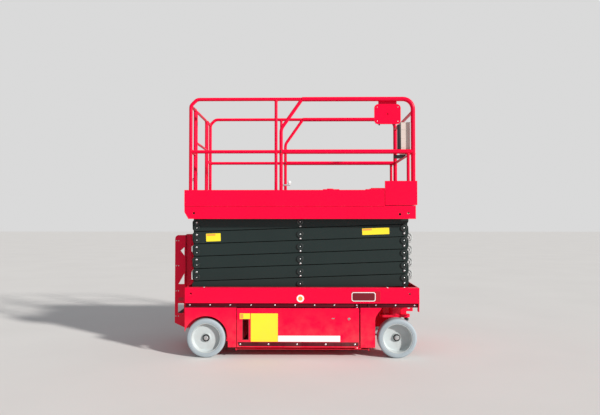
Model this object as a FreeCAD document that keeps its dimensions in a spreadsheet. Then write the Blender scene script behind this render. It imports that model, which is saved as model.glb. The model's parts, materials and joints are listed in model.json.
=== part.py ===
import FreeCAD, Part
import math
import os
from types import SimpleNamespace

import Sketcher

# A slab-type electric scissor lift. +X is the steered front, +Y the left side, +Z up.
# The origin is on the ground under the middle of the machine.

# Driving sizes in millimetres and degrees: name, number, meaning
SIZES = [
    ("body_width", 1170, "width over wheels, side plates and toe boards"),
    ("plate", 8, "thickness of the chassis and deck plates"),
    ("chassis_rear_x", -1052, "rear face of the chassis"),
    ("chassis_front_x", 1238, "front face of the chassis"),
    ("wheel_diameter", 381, "outer diameter of the solid tyres"),
    ("tyre_width", 127, "width of a tyre"),
    ("tyre_wall", 45, "radial thickness of the tyre rubber"),
    ("tyre_lean", 8, "how far each sidewall of a tyre leans in up to the tread"),
    ("rim_wall", 8, "thickness of the rim tube and of the disc"),
    ("rim_inset", 6, "step from the tyre's side to the rim's edge"),
    ("front_dish", 68, "depth of the front wheel discs"),
    ("rear_dish", 36, "depth of the rear wheel discs"),
    ("hub_radius", 42, "radius of the raised wheel hub"),
    ("hub_rise", 14, "height of the hub over the disc"),
    ("nut_radius", 17, "radius of the wheel nut"),
    ("nut_length", 16, "length of the wheel nut"),
    ("spindle_radius", 22, "radius of the wheel spindles"),
    ("running_gap", 0.3, "radial clearance of spindles and pins in their bores"),
    ("rear_axle_x", -845, "centre of the rear wheels"),
    ("front_axle_x", 1025, "centre of the front wheels"),
    ("arch_radius", 216, "radius of the rear wheel arch"),
    ("skirt_z", 104, "lower edge of the side skirts"),
    ("skirt_top_z", 490, "upper edge of the side skirts"),
    ("beam_low_z", 532, "lower edge of the chassis side beams"),
    ("strip_depth", 20, "depth of the strip between beam and skirt"),
    ("deck_top_z", 580, "top of the chassis deck plate"),
    ("pin_low_z", 648, "height of the lowest scissor pins"),
    ("pitch", 123.6, "rise from one scissor pin to the next when stowed"),
    ("pin_run", 2068, "stowed distance between left and right pins"),
    ("rear_pin_x", -958, "fixed pins of the scissor stack"),
    ("arm_height", 116, "height of an arm tube"),
    ("arm_thickness", 50, "width of an arm tube"),
    ("arm_inset", 120, "outer arms behind the machine's side"),
    ("arm_gap", 8, "gap between outer and inner arm"),
    ("pin_offset", 24.5, "end pins' distance from the arm's centre line"),
    ("arm_overrun", 45, "arm beyond its end pins"),
    ("arm_round", 30, "rounding of the arm's end corners"),
    ("pin_radius", 25, "radius of the scissor pins"),
    ("pin_tail", 6, "pin beyond the inner arm"),
    ("cap_radius", 34, "radius of the pin caps"),
    ("cap_thickness", 10, "thickness of the pin caps"),
    ("tube_radius", 35, "radius of the cross tubes between inner arms"),
    ("tube_left", 150, "left cross tube from the left pin"),
    ("tube_right", 260, "right cross tube from the right pin"),
    ("barrel_pin_left", 271, "barrel lug from the left pin"),
    ("rod_pin_right", 350, "rod lug from the right pin"),
    ("lug_rise", 80, "lug pin from the middle of its cross tube"),
    ("lug_radius", 38, "radius of the lug ends"),
    ("lug_thickness", 18, "thickness of a lug"),
    ("lug_gap", 64, "width between two lugs"),
    ("lug_pin_radius", 20, "radius of the lift cylinder pins"),
    ("barrel_radius", 52, "radius of a lift cylinder barrel"),
    ("neck_height", 56, "height of the neck between eye and barrel"),
    ("rod_radius", 30, "radius of a lift cylinder rod"),
    ("eye_radius", 38, "radius of a lift cylinder eye"),
    ("eye_clearance", 2, "side clearance of the barrel eye in its lugs"),
    ("rod_eye_clearance", 6, "side clearance of the rod eye in its lugs"),
    ("gland_radius", 60, "radius of the gland nut"),
    ("gland_length", 46, "length of the gland nut"),
    ("gland_from_eye", 130, "rod eye to gland when stowed"),
    ("rod_tail", 1220, "length of rod behind its eye"),
    ("stub_radius", 14, "radius of the pins in the slide blocks"),
    ("block_length", 70, "length of a slide block"),
    ("block_height", 50, "height of a slide block"),
    ("block_width", 56, "width of a slide block"),
    ("slide_gap", 1, "clearance of a slide block in its channel"),
    ("flange_width", 78, "inward reach of the channel flanges"),
    ("anchor_thickness", 14, "thickness of the plate that holds a fixed pin"),
    ("anchor_length", 120, "length of the plate that holds a fixed pin"),
    ("block_clearance", 3, "side clearance of a slide block to its beam"),
    ("beam_hole_radius", 10, "radius of the holes in the side beams"),
    ("beam_hole_inset", 59, "rear hole of a side beam from the chassis end"),
    ("beam_hole_front_inset", 94, "front hole of a side beam from the chassis end"),
    ("beam_hole_z", 624, "height of the holes in the side beams"),
    ("tab_width", 65, "width of the tabs under the front end plate"),
    ("tab_low_z", 448, "lower edge of the tabs under the front end plate"),
    ("hull_inset", 155, "rear hull's wall behind the machine's side"),
    ("hull_front_x", -572, "front end of the rear hull"),
    ("stub_gap", 6, "rear axle stub from the tyre's inner side"),
    ("spine_inset", 350, "spine's wall behind the machine's side"),
    ("spine_low_z", 96, "underside of the spine"),
    ("hull_low_z", 130, "underside of the rear hull"),
    ("nose_front_x", 1080, "front end of the spine"),
    ("nose_low_z", 240, "underside of the spine between the front wheels"),
    ("bulkhead_x", 664, "plate behind the front end of the trays"),
    ("bulkhead_front_x", 750, "rear wall of the front wheel space"),
    ("skirt_front_x", 807, "front edge of the side skirts"),
    ("skirt_curve_z", 400, "height where the front edge turns forwards"),
    ("skirt_curve_x", 868, "front end of the skirt's upper edge"),
    ("skirt_curve_z_top", 478, "height where the forward curve ends"),
    ("skirt_curve_radius", 130, "radius of the front edge's curve"),
    ("tray_rear_x", -542, "rear edge of the swing-out trays"),
    ("tray_front_x", 652, "front edge of the swing-out trays"),
    ("seam", 6, "gap round the swing-out trays"),
    ("tray_depth", 312, "depth of a tray behind its outer panel"),
    ("tray_pan_rear_x", -488, "rear end of the tray's pan"),
    ("tray_lip", 60, "height of the pan's walls"),
    ("slot_x", -456, "middle of the tray's hand slot"),
    ("slot_width", 60, "width of the hand slot"),
    ("slot_low_z", 176, "lower end of the hand slot"),
    ("slot_height", 200, "height of the hand slot"),
    ("hinge_radius", 13, "radius of the tray hinge tube"),
    ("hinge_pin_radius", 8, "radius of the tray hinge pins"),
    ("hinge_length", 90, "length of a tray hinge tube"),
    ("hinge_from_edge", 24, "tray hinge axis behind the tray's front edge"),
    ("hinge_from_face", 17, "tray hinge axis behind the tray's outer face"),
    ("bracket_reach", 20, "hinge bracket beyond its pin's axis"),
    ("bracket_width", 25, "width of the lower hinge bracket"),
    ("battery_length", 250, "length of a battery"),
    ("battery_width", 190, "width of a battery"),
    ("battery_height", 280, "height of a battery"),
    ("battery_step", 262, "distance between batteries"),
    ("battery_front_x", 606, "front face of the foremost battery and of the oil tank"),
    ("battery_gap", 18, "batteries behind the tray's panel"),
    ("guard_z", 80, "height of the pothole guards' pins"),
    ("guard_inset", 40, "pothole guard's pin behind the machine's side"),
    ("guard_width", 66, "width of the pothole guard's plate"),
    ("guard_thickness", 10, "thickness of the pothole guard's plate and pin"),
    ("guard_gap", 3, "end clearance of a guard's plate between its lugs"),
    ("guard_lug", 15, "half the width of a guard's lugs"),
    ("guard_lug_low", 10, "lug below the guard's pin"),
    ("axle_half_length", 118, "half the length of the front axle beam along the machine"),
    ("axle_low_z", 400, "underside of the front axle beam"),
    ("axle_height", 76, "height of the front axle beam"),
    ("kingpin_inset", 180, "kingpins behind the machine's side"),
    ("kingpin_radius", 24, "radius of the kingpins"),
    ("yoke_radius", 56, "radius of the kingpin bosses"),
    ("fork_gap", 1, "gap between the axle beam and a knuckle's plate"),
    ("fork_plate", 24, "thickness of the knuckle's plate"),
    ("fork_half_length", 150, "half the length of the knuckle's plate"),
    ("fork_half_width", 46, "half the width of the knuckle's plate"),
    ("fork_round", 40, "rounding of the knuckle's plate"),
    ("leg_half_length", 58, "half the length of the knuckle's leg"),
    ("leg_half_width", 26, "half the thickness of the knuckle's leg"),
    ("motor_radius", 78, "radius of the drive motors"),
    ("motor_inset", 280, "inner end of the drive motors behind the machine's side"),
    ("motor_gap", 4, "drive motor from the tyre's inner side"),
    ("steer_pin_reach", 119, "steering pin ahead of the kingpin"),
    ("steer_pin_radius", 12, "radius of the steering pins"),
    ("steer_pin_tail", 8, "steering pin below the link's eye"),
    ("link_z", 350, "height of the steering link"),
    ("link_radius", 11, "radius of the steering link's bar"),
    ("link_eye_radius", 20, "radius of the steering link's eyes"),
    ("link_eye_height", 24, "height of the steering link's eyes"),
    ("ladder_reach_x", -1237, "rear face of the ladder"),
    ("ladder_width", 440, "width of the ladder"),
    ("ladder_top_z", 1188, "top of the ladder"),
    ("ladder_rear_z", 273, "lower end of the ladder's rear edge"),
    ("ladder_foot_x", -1106, "lowest corner of the ladder"),
    ("ladder_foot_z", 210, "height of the lowest corner"),
    ("ladder_heel_z", 291, "lower end of the ladder's seat on the hull"),
    ("ladder_sheet", 5, "thickness of the ladder's side sheets"),
    ("ladder_fold_x", -1132, "fold between a side sheet and its inner band"),
    ("ladder_fold_depth", 25, "depth of the inner band behind the side sheet"),
    ("ladder_inner_x", -1070, "inner edge of the ladder above the chassis"),
    ("ladder_step_height", 40, "height of the slope above the chassis beam"),
    ("ladder_round", 40, "rounding of the ladder's upper corner"),
    ("ladder_slot_x", -1173, "middle of the rectangular hole"),
    ("ladder_slot_length", 62, "length of the rectangular hole"),
    ("ladder_slot_z", 374, "lower edge of the rectangular hole"),
    ("ladder_slot_height", 102, "height of the rectangular hole"),
    ("rung_depth", 50, "depth of a rung"),
    ("rung_height", 26, "height of a rung"),
    ("rung_first_z", 330, "height of the first rung"),
    ("rung_step", 262, "distance between rungs"),
    ("platform_rear_x", -1061, "rear face of the platform"),
    ("platform_front_x", 1222, "front face of the platform"),
    ("floor_top_z", 1486, "top of the main floor"),
    ("floor_thickness", 6, "thickness of the floor plates"),
    ("frame_inset", 5, "deck frame behind the face of the toe boards"),
    ("toe_top_z", 1640, "top of the toe boards"),
    ("toe_gap", 4, "clearance between main and extension toe boards"),
    ("deck_taper_length", 39, "length of the sloped rear corner of the deck sides"),
    ("deck_taper_height", 67, "height of the sloped rear corner of the deck sides"),
    ("deck_hole_radius", 12, "radius of the holes in the deck sides"),
    ("rib_depth", 24, "depth of the ribs under the floor"),
    ("rib_width", 24, "width of the ribs under the floor"),
    ("rail_inset", 38, "rail posts behind the machine's side"),
    ("rail_top_z", 2541, "middle of the top rails"),
    ("rail_mid_z", 2020, "middle of the mid rails"),
    ("rail_radius", 17, "radius of the main rail tubes"),
    ("cross_radius", 15, "radius of the rails across the machine and of the short posts"),
    ("sleeve_radius", 22, "radius of the extension rail tubes"),
    ("sleeve_gap", 1, "clearance of the main rails in the extension rails"),
    ("rail_bend", 100, "bend radius of the rail corners"),
    ("rail_end_x", 1085, "front end of the main rails inside the extension rails"),
    ("post_rear_x", -1008, "rear posts"),
    ("post_mid_x", -162, "middle posts of the main rails"),
    ("rear_cut", 62, "length of the sloped corner at the rear of the top rail"),
    ("rear_rail_drop", 65, "rear top rail and gate below the top rails"),
    ("gate_half_width", 290, "half the width of the gate"),
    ("gate_low_z", 1560, "lower edge of the gate"),
    ("gate_gap", 22, "gap between gate and its posts"),
    ("gate_mid_drop", 328, "middle rail of the gate below its top"),
    ("gate_radius", 14, "radius of the gate's tubes"),
    ("gate_bend", 42, "bend radius of the gate's corners"),
    ("gate_hinge_inset", 130, "gate hinges from the gate's lower and upper rails"),
    ("gate_pin_radius", 5, "radius of the gate's hinge pins"),
    ("gate_eye_radius", 10, "radius of the gate's hinge eyes"),
    ("gate_eye_height", 14, "height of the gate's hinge eyes"),
    ("gate_lug_radius", 8, "radius of the hinge lugs on the gate post"),
    ("gate_lug_height", 6, "thickness of the hinge lugs on the gate post"),
    ("latch_z", 1760, "height of the gate's latch"),
    ("latch_height", 30, "height of the gate's latch"),
    ("latch_gap", 5, "gap between the gate's latch and its post"),
    ("extension_rear_x", -134, "rear edge of the extension deck"),
    ("extension_floor_gap", 5, "gap between main floor and extension floor"),
    ("pad_height", 4.7, "height of the extension's slide pads"),
    ("head_rear_x", 908, "rear edge of the extension's full-width head"),
    ("head_top_z", 1728, "top of the extension's full-width head"),
    ("extension_post_x", -112, "rear posts of the extension rails"),
    ("brace_drop", 295, "lower end of the sloped brace below the top rail"),
    ("brace_top_x", 95, "upper end of the sloped brace"),
    ("front_post_x", 1190, "front posts of the extension rails"),
    ("front_inner_x", 1141, "second front posts of the extension rails"),
    ("box_rear_x", 812, "rear edge of the control box"),
    ("box_length", 262, "length of the control box"),
    ("box_drop", 45, "top of the control box below the top rail"),
    ("box_height", 200, "height of the control box plate"),
    ("box_round", 40, "rounding of the control box plate"),
    ("box_margin", 24, "control box plate beyond its housing"),
    ("box_hole_radius", 9, "radius of the hole in the control box plate"),
    ("hook_margin", 40, "control box plate beyond its hook"),
    ("box_depth", 110, "depth of the control box"),
    ("papers_rear_x", 1076, "rear face of the document box"),
    ("papers_length", 88, "length of the document box"),
    ("papers_depth", 95, "depth of the document box"),
    ("papers_height", 319, "height of the document box"),
    ("papers_drop", 30, "foot of the document box below the mid rail"),
    ("papers_wall", 4, "wall of the document box"),
    ("handle_x", -30, "knob of the deck lock handle"),
    ("handle_z", 1690, "height of the deck lock handle"),
    ("handle_radius", 7, "radius of the deck lock handle's bars"),
    ("handle_rise", 26, "knob above the handle's bar"),
    ("knob_radius", 14, "radius of the handle's knob"),
    ("knob_half", 12, "half the width of the handle's knob"),
    ("knob_face", 5, "radius of the flat ends and half the width of the band of the knob"),
    ("lash_radius", 16, "radius of the lashing eyes"),
    ("lash_thickness", 14, "thickness of the lashing lugs"),
    ("lash_width", 76, "width of the lashing lugs"),
    ("lash_y", 300, "lashing lugs from the middle"),
    ("lash_front_x", 1186, "front lashing eyes"),
    ("lash_front_z", 452, "height of the front lashing eyes"),
    ("lash_rear_x", -1094, "rear lashing eyes"),
    ("lash_rear_z", 340, "height of the rear lashing eyes"),
]

ARM_LEVELS = 6
RUNG_COUNT = 4
BATTERY_COUNT = 4
RIB_COUNT = 5
# Holes in a tray's panel: place along the machine, height, radius
TRAY_HOLES = [(391, 384, 7), (407, 384, 7), (553, 381, 9), (553, 370, 5)]
# Holes in the deck sides: place along the machine, height
DECK_HOLES = [(-968, 1413), (1053, 1401), (1136, 1413)]
# Triangular holes in the ladder's sides: width, low and high end at the fold, height of the rear corner
LADDER_HOLES = [(42, 969, 1063, 1025), (63, 676, 791, 676)]
SIDES = (("right", -1), ("left", 1))
DOWN_AXIS = FreeCAD.Vector(0, 1, 0)

doc = FreeCAD.newDocument("scissor_lift")
sheet = doc.addObject("Spreadsheet::Sheet", "Sizes")
nodes = []


class Size:
    """A number together with the sheet formula that it comes from."""

    def __init__(self, formula, number):
        self.formula = formula
        self.number = float(number)

    def __float__(self):
        return self.number

    def __add__(self, other):
        return Size(f"({self.formula} + {formula(other)})", self.number + float(other))

    def __sub__(self, other):
        return Size(f"({self.formula} - {formula(other)})", self.number - float(other))

    def __mul__(self, other):
        return Size(f"({self.formula} * {formula(other)})", self.number * float(other))

    def __truediv__(self, other):
        return Size(f"({self.formula} / {formula(other)})", self.number / float(other))

    def __radd__(self, other):
        return Size(f"({other} + {self.formula})", other + self.number)

    def __rsub__(self, other):
        return Size(f"({other} - {self.formula})", other - self.number)

    def __rmul__(self, other):
        return Size(f"({other} * {self.formula})", other * self.number)

    def __neg__(self):
        return Size(f"(-1 * {self.formula})", -self.number)


def formula(value):
    return value.formula if isinstance(value, Size) else repr(float(value))


def root(value):
    return Size(f"sqrt({value.formula})", math.sqrt(value.number))


def slope(rise, run):
    """The angle of a rise over a run, in degrees."""
    return Size(f"atan({formula(rise)} / {formula(run)})", math.degrees(math.atan(rise.number / float(run))))


def sine(angle):
    return Size(f"sin({angle.formula})", math.sin(math.radians(angle.number)))


def cosine(angle):
    return Size(f"cos({angle.formula})", math.cos(math.radians(angle.number)))


def fill_sheet():
    """Writes the driving sizes to the sheet and gives them back by name."""
    sizes = {}
    for row, (name, number, meaning) in enumerate(SIZES, 1):
        sheet.set(f"A{row}", name)
        sheet.set(f"B{row}", str(number))
        sheet.set(f"C{row}", meaning)
        sheet.setAlias(f"B{row}", name)
        sizes[name] = Size(f"Sizes.{name}", number)
    doc.recompute()
    return SimpleNamespace(**sizes)


def place(item, x, y, z, turn=None, axis=DOWN_AXIS):
    """Binds an object's place, and its turn in degrees about an axis."""
    if turn is not None:
        item.Placement = FreeCAD.Placement(FreeCAD.Vector(), FreeCAD.Rotation(axis, float(turn)))
        item.setExpression("Placement.Rotation.Angle", formula(turn))
    for letter, value in zip("xyz", (x, y, z)):
        item.setExpression(f"Placement.Base.{letter}", formula(value))


def box(name, x, y, z):
    """A block between the low and high ends given for each direction."""
    item = doc.addObject("Part::Box", name)
    for prop, (low, high) in (("Length", x), ("Width", y), ("Height", z)):
        item.setExpression(prop, formula(high - low))
    place(item, x[0], y[0], z[0])
    return item


def rod(name, axis, radius, centre, span):
    """A cylinder along x, y or z. The centre gives the other two coordinates in order."""
    item = doc.addObject("Part::Cylinder", name)
    turns = {"x": (DOWN_AXIS, 90), "y": (FreeCAD.Vector(1, 0, 0), -90), "z": (FreeCAD.Vector(0, 0, 1), 0)}
    item.Placement = FreeCAD.Placement(FreeCAD.Vector(), FreeCAD.Rotation(*turns[axis]))
    item.setExpression("Radius", formula(radius))
    item.setExpression("Height", formula(span[1] - span[0]))
    start = {"x": (span[0], *centre), "y": (centre[0], span[0], centre[1]), "z": (*centre, span[0])}[axis]
    for letter, value in zip("xyz", start):
        item.setExpression(f"Placement.Base.{letter}", formula(value))
    return item


def joined(name, items):
    if len(items) == 1:
        return items[0]
    item = doc.addObject("Part::MultiFuse", name)
    item.Shapes = items
    item.Refine = True
    return item


def grouped(name, items):
    """Solids that don't touch, kept as one compound."""
    item = doc.addObject("Part::Compound", name)
    item.Links = items
    return item


def less(name, base, tools):
    item = doc.addObject("Part::Cut", name)
    item.Base = base
    item.Tool = tools[0] if len(tools) == 1 else grouped(f"{name}_tools", tools)
    return item


def origin_plane(body, role):
    return next(o for o in body.Origin.OriginFeatures if o.Role == role)


def outline_sketch(body, name, role, points, offset=0.0):
    """A closed outline whose corners are held by sheet formulas."""
    sketch = body.newObject("Sketcher::SketchObject", name)
    sketch.AttachmentSupport = (origin_plane(body, role), [""])
    sketch.MapMode = "FlatFace"
    sketch.setExpression("AttachmentOffset.Base.z", formula(offset))
    corners = [FreeCAD.Vector(float(a), float(b), 0) for a, b in points]
    count = len(corners)
    lines = [Part.LineSegment(corners[i], corners[(i + 1) % count]) for i in range(count)]
    sketch.addGeometry(lines, False)
    for i in range(count):
        sketch.addConstraint(Sketcher.Constraint("Coincident", i, 2, (i + 1) % count, 1))
    for i, (a, b) in enumerate(points):
        for kind, value in (("DistanceX", a), ("DistanceY", b)):
            index = sketch.addConstraint(Sketcher.Constraint(kind, -1, 1, i, 1, float(value)))
            sketch.renameConstraint(index, f"{kind}{i}")
            sketch.setExpression(f"Constraints.{kind}{i}", formula(value))
    return sketch


def slab(name, role, points, span, rounds=None, radius=None):
    """A plate of the given outline. The role names the plane that the outline lies in."""
    body = doc.addObject("PartDesign::Body", name)
    offset = -span[1] if role == "XZ_Plane" else span[0]
    sketch = outline_sketch(body, f"{name}_outline", role, points, offset)
    pad = body.newObject("PartDesign::Pad", f"{name}_pad")
    pad.Profile = sketch
    pad.setExpression("Length", formula(span[1] - span[0]))
    sketch.Visibility = False
    if rounds:
        doc.recompute()
        corners = [(float(points[i][0]), float(points[i][1])) for i in rounds]
        edges = [f"Edge{i + 1}" for i, edge in enumerate(pad.Shape.Edges) if stands_on(edge, role, corners)]
        fillet = body.newObject("PartDesign::Fillet", f"{name}_rounds")
        fillet.Base = (pad, edges)
        fillet.setExpression("Radius", formula(radius))
        body.Tip = fillet
    return body


def stands_on(edge, role, corners):
    """Tells whether a straight edge runs along the pad through one of the corners."""
    if len(edge.Vertexes) != 2:
        return False
    keep = {"XY_Plane": (0, 1), "XZ_Plane": (0, 2), "YZ_Plane": (1, 2)}[role]
    ends = [[vertex.Point[i] for i in keep] for vertex in edge.Vertexes]
    if math.dist(ends[0], ends[1]) > 1e-6:
        return False
    return any(math.dist(ends[0], corner) < 1e-4 for corner in corners)


def revolved(name, points, y, x, z):
    """A ring or disc turned about its own Y axis. Points are (along, radius) pairs."""
    body = doc.addObject("PartDesign::Body", name)
    sketch = outline_sketch(body, f"{name}_profile", "YZ_Plane", points)
    turn = body.newObject("PartDesign::Revolution", f"{name}_turn")
    turn.Profile = sketch
    turn.ReferenceAxis = (sketch, ["H_Axis"])
    turn.Angle = 360
    sketch.Visibility = False
    place(body, x, y, z)
    return body


def bent_path(points, bend):
    """A wire through the points with an arc of the bend radius at each inner point."""
    corners = [FreeCAD.Vector(*[float(v) for v in point]) for point in points]
    edges = []
    start = corners[0]
    for before, corner, after in zip(corners, corners[1:], corners[2:]):
        towards = (before - corner).normalize()
        onwards = (after - corner).normalize()
        half = towards.getAngle(onwards) / 2
        reach = float(bend) / math.tan(half)
        first = corner + towards * reach
        last = corner + onwards * reach
        bisector = (towards + onwards).normalize()
        middle = corner + bisector * (float(bend) / math.sin(half) - float(bend))
        if (first - start).Length > 1e-6:
            edges.append(Part.LineSegment(start, first).toShape())
        edges.append(Part.Arc(first, middle, last).toShape())
        start = last
    edges.append(Part.LineSegment(start, corners[-1]).toShape())
    return Part.Wire(edges)


def bent_tube(name, points, radius, bend):
    """A round bar along straight runs and tangent arcs."""
    path = doc.addObject("Part::Feature", f"{name}_path")
    path.Shape = bent_path(points, bend)
    ring = doc.addObject("Part::Circle", f"{name}_ring")
    ring.setExpression("Radius", formula(radius))
    first, second = [FreeCAD.Vector(*[float(v) for v in point]) for point in points[:2]]
    turn = FreeCAD.Rotation(FreeCAD.Vector(0, 0, 1), second - first)
    ring.Placement = FreeCAD.Placement(first, turn)
    sweep = doc.addObject("Part::Sweep", name)
    sweep.Sections = [ring]
    sweep.Spine = (path, [f"Edge{i + 1}" for i in range(len(path.Shape.Edges))])
    sweep.Solid = True
    sweep.Frenet = False
    return sweep


def node(name, item):
    """Registers a finished sub-part under its own label."""
    item.Label = name
    nodes.append(item)
    return item


def across(side, inner, outer):
    """The low and high Y of a stretch between two distances from the middle."""
    return (inner, outer) if side > 0 else (-outer, -inner)


S = fill_sheet()

HALF = S.body_width / 2
WHEEL_RADIUS = S.wheel_diameter / 2
WHEEL_Y = HALF - S.tyre_width / 2
RIM_RADIUS = WHEEL_RADIUS - S.tyre_wall
OUTER_ARM = (HALF - S.arm_inset - S.arm_thickness, HALF - S.arm_inset)
INNER_ARM = (OUTER_ARM[0] - S.arm_gap - S.arm_thickness, OUTER_ARM[0] - S.arm_gap)
ARM_RUN = root(S.pin_run * S.pin_run + S.pitch * S.pitch - 4 * S.pin_offset * S.pin_offset)
ARM_TILT = slope(S.pitch, S.pin_run) - slope(2 * S.pin_offset, ARM_RUN)
CHANNEL_LOW = S.pin_low_z - S.block_height / 2 - S.slide_gap
CHANNEL_HIGH = S.pin_low_z + S.block_height / 2 + S.slide_gap
BEAM_TOP = CHANNEL_HIGH + S.plate
PIN_HIGH = S.pin_low_z + S.pitch * ARM_LEVELS
DECK_CHANNEL_LOW = PIN_HIGH - S.block_height / 2 - S.slide_gap
DECK_CHANNEL_HIGH = PIN_HIGH + S.block_height / 2 + S.slide_gap
DECK_LOW = DECK_CHANNEL_LOW - S.plate
FLOOR_LOW = S.floor_top_z - S.floor_thickness
FRAME_FACE = HALF - S.frame_inset
BLOCK_OUTER = FRAME_FACE - S.plate - S.block_clearance
BLOCK_INNER = BLOCK_OUTER - S.block_width
EXTENSION_LOW = S.floor_top_z + S.extension_floor_gap
EXTENSION_FLOOR_TOP = EXTENSION_LOW + S.floor_thickness
SLEEVE_BORE = S.rail_radius + S.sleeve_gap
HULL_TOP = S.deck_top_z - S.plate
HULL_HALF = HALF - S.hull_inset
SPINE_HALF = HALF - S.spine_inset
SKIRT_INNER = HALF - S.strip_depth - S.plate
TRAY_TOP = S.skirt_top_z - S.seam
HINGE = (S.tray_front_x - S.hinge_from_edge, HALF - S.hinge_from_face)
GUARD_Y = HALF - S.guard_inset
GUARD_SPAN = (S.tray_rear_x - S.seam, S.bulkhead_front_x - S.plate)
KINGPIN_Y = HALF - S.kingpin_inset
KNUCKLE_TOP = S.axle_low_z - S.fork_gap
STEER_PIN_X = S.front_axle_x + S.steer_pin_reach
RAIL_Y = HALF - S.rail_inset
GATE_TOP = S.rail_top_z - S.rear_rail_drop
GATE_AXIS = S.gate_half_width + S.gate_gap / 2
GATE_POST = S.gate_half_width + S.gate_gap + S.rail_radius
GATE_HINGES = (S.gate_low_z + S.gate_hinge_inset, GATE_TOP - S.gate_hinge_inset)


def pin_z(level):
    """Height of the stowed pins at the foot of a level, counted from 1."""
    return S.pin_low_z + S.pitch * (level - 1)


def shell(name, x, y, z):
    """A closed box of plates."""
    outer = box(f"{name}_outer", x, y, z)
    inner = box(
        f"{name}_inner",
        (x[0] + S.plate, x[1] - S.plate),
        (y[0] + S.plate, y[1] - S.plate),
        (z[0] + S.plate, z[1] - S.plate),
    )
    return less(name, outer, [inner])


def side_channel(name, side, outline, x, face, channel):
    """A side member whose upper part is an inward-open channel for slide blocks."""
    flange = across(side, face - S.flange_width, face)
    web = slab(f"{name}_web", "XZ_Plane", outline, across(side, face - S.plate, face))
    lower = box(f"{name}_lower", x, flange, (channel[0] - S.plate, channel[0]))
    upper = box(f"{name}_upper", x, flange, (channel[1], channel[1] + S.plate))
    return [web, lower, upper]


def pin_anchor(name, side, face, low, high):
    """A plate on a side member that carries a fixed scissor pin."""
    x = (S.rear_pin_x - S.anchor_length / 2, S.rear_pin_x + S.anchor_length / 2)
    inner = face - S.flange_width
    return box(name, x, across(side, inner, inner + S.anchor_thickness), (low, high))


def lash_lug(name, side, x, z, eye_x, eye_z):
    """A lashing lug and the tool that cuts its eye."""
    lug = box(name, x, across(side, S.lash_y, S.lash_y + S.lash_thickness), z)
    eye_y = across(side, S.lash_y - S.lash_thickness, S.lash_y + 2 * S.lash_thickness)
    return lug, rod(f"{name}_eye", "y", S.lash_radius, (eye_x, eye_z), eye_y)


def make_base_frame():
    """Deck plate, end plates with their tabs and the front lashing lugs."""
    x = (S.chassis_rear_x, S.chassis_front_x)
    inside = HALF - S.plate
    parts = [box("deck_plate", x, (-inside, inside), (HULL_TOP, S.deck_top_z))]
    for name, end in (("rear", x[0]), ("front", x[1] - S.plate)):
        parts.append(box(f"{name}_end", (end, end + S.plate), (-inside, inside), (S.beam_low_z, BEAM_TOP)))
    eyes = []
    for label, side in SIDES:
        tab_y = across(side, HALF - S.tab_width, inside)
        parts.append(box(f"end_tab_{label}", (x[1] - S.plate, x[1]), tab_y, (S.tab_low_z, S.beam_low_z)))
        lug, eye = lash_lug(
            f"lash_front_{label}",
            side,
            (S.lash_front_x - S.lash_width / 2, S.lash_front_x + S.lash_width / 2),
            (S.lash_front_z - S.lash_width / 2, S.deck_top_z),
            S.lash_front_x,
            S.lash_front_z,
        )
        parts.append(lug)
        eyes.append(eye)
    return node("base_frame", less("base_frame_cut", joined("base_frame_body", parts), eyes))


def make_side_beams():
    """The beam along each side of the deck plate: web, slide channel and the plate of the lowest pin."""
    x = (S.chassis_rear_x, S.chassis_front_x)
    flange_x = (x[0] + S.plate, x[1] - S.plate)
    outline = [(x[0], S.beam_low_z), (x[1], S.beam_low_z), (x[1], BEAM_TOP), (x[0], BEAM_TOP)]
    beams = []
    for label, side in SIDES:
        parts = side_channel(f"beam_{label}", side, outline, flange_x, HALF, (CHANNEL_LOW, CHANNEL_HIGH))
        parts.append(pin_anchor(f"anchor_{label}", side, HALF, S.deck_top_z, CHANNEL_HIGH + S.plate))
        anchor_y = across(side, HALF - 2 * S.flange_width, HALF - S.plate)
        cuts = [rod(f"anchor_bore_{label}", "y", S.pin_radius + S.running_gap, (S.rear_pin_x, pin_z(1)), anchor_y)]
        hole_y = across(side, HALF - 2 * S.plate, HALF + S.plate)
        for name, hole_x in (("rear", x[0] + S.beam_hole_inset), ("front", x[1] - S.beam_hole_front_inset)):
            cuts.append(rod(f"beam_hole_{name}_{label}", "y", S.beam_hole_radius, (hole_x, S.beam_hole_z), hole_y))
        beams.append(less(f"beam_{label}_cut", joined(f"beam_{label}_body", parts), cuts))
    return node("side_beams", grouped("beam_pair", beams))


def make_rear_hull():
    """The closed box between the rear wheels, with their fixed axles and the rear lashing lugs."""
    rear = S.chassis_rear_x + S.plate
    parts = [shell("hull_box", (rear, S.hull_front_x), (-HULL_HALF, HULL_HALF), (S.hull_low_z, HULL_TOP))]
    eyes = []
    for label, side in SIDES:
        stub_y = across(side, HULL_HALF - S.plate, HALF - S.tyre_width - S.stub_gap)
        parts.append(rod(f"rear_stub_{label}", "y", S.hub_radius, (S.rear_axle_x, WHEEL_RADIUS), stub_y))
        parts.append(spindle(f"rear_spindle_{label}", side, S.rear_axle_x, HULL_HALF, S.rear_dish))
        lug, eye = lash_lug(
            f"lash_rear_{label}",
            side,
            (S.lash_rear_x - S.lash_width / 2, rear),
            (S.lash_rear_z - S.lash_width / 2, S.lash_rear_z + S.lash_width / 2),
            S.lash_rear_x,
            S.lash_rear_z,
        )
        parts.append(lug)
        eyes.append(eye)
    return node("rear_hull", less("rear_hull_cut", joined("rear_hull_body", parts), eyes))


def make_spine():
    """The closed box between the trays, with its raised nose between the front wheels."""
    y = (-SPINE_HALF, SPINE_HALF)
    trunk = shell("spine_trunk", (S.hull_front_x, S.bulkhead_front_x), y, (S.spine_low_z, HULL_TOP))
    nose = shell("spine_nose", (S.bulkhead_front_x - S.plate, S.nose_front_x), y, (S.nose_low_z, HULL_TOP))
    return node("spine", joined("spine_body", [trunk, nose]))


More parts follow.
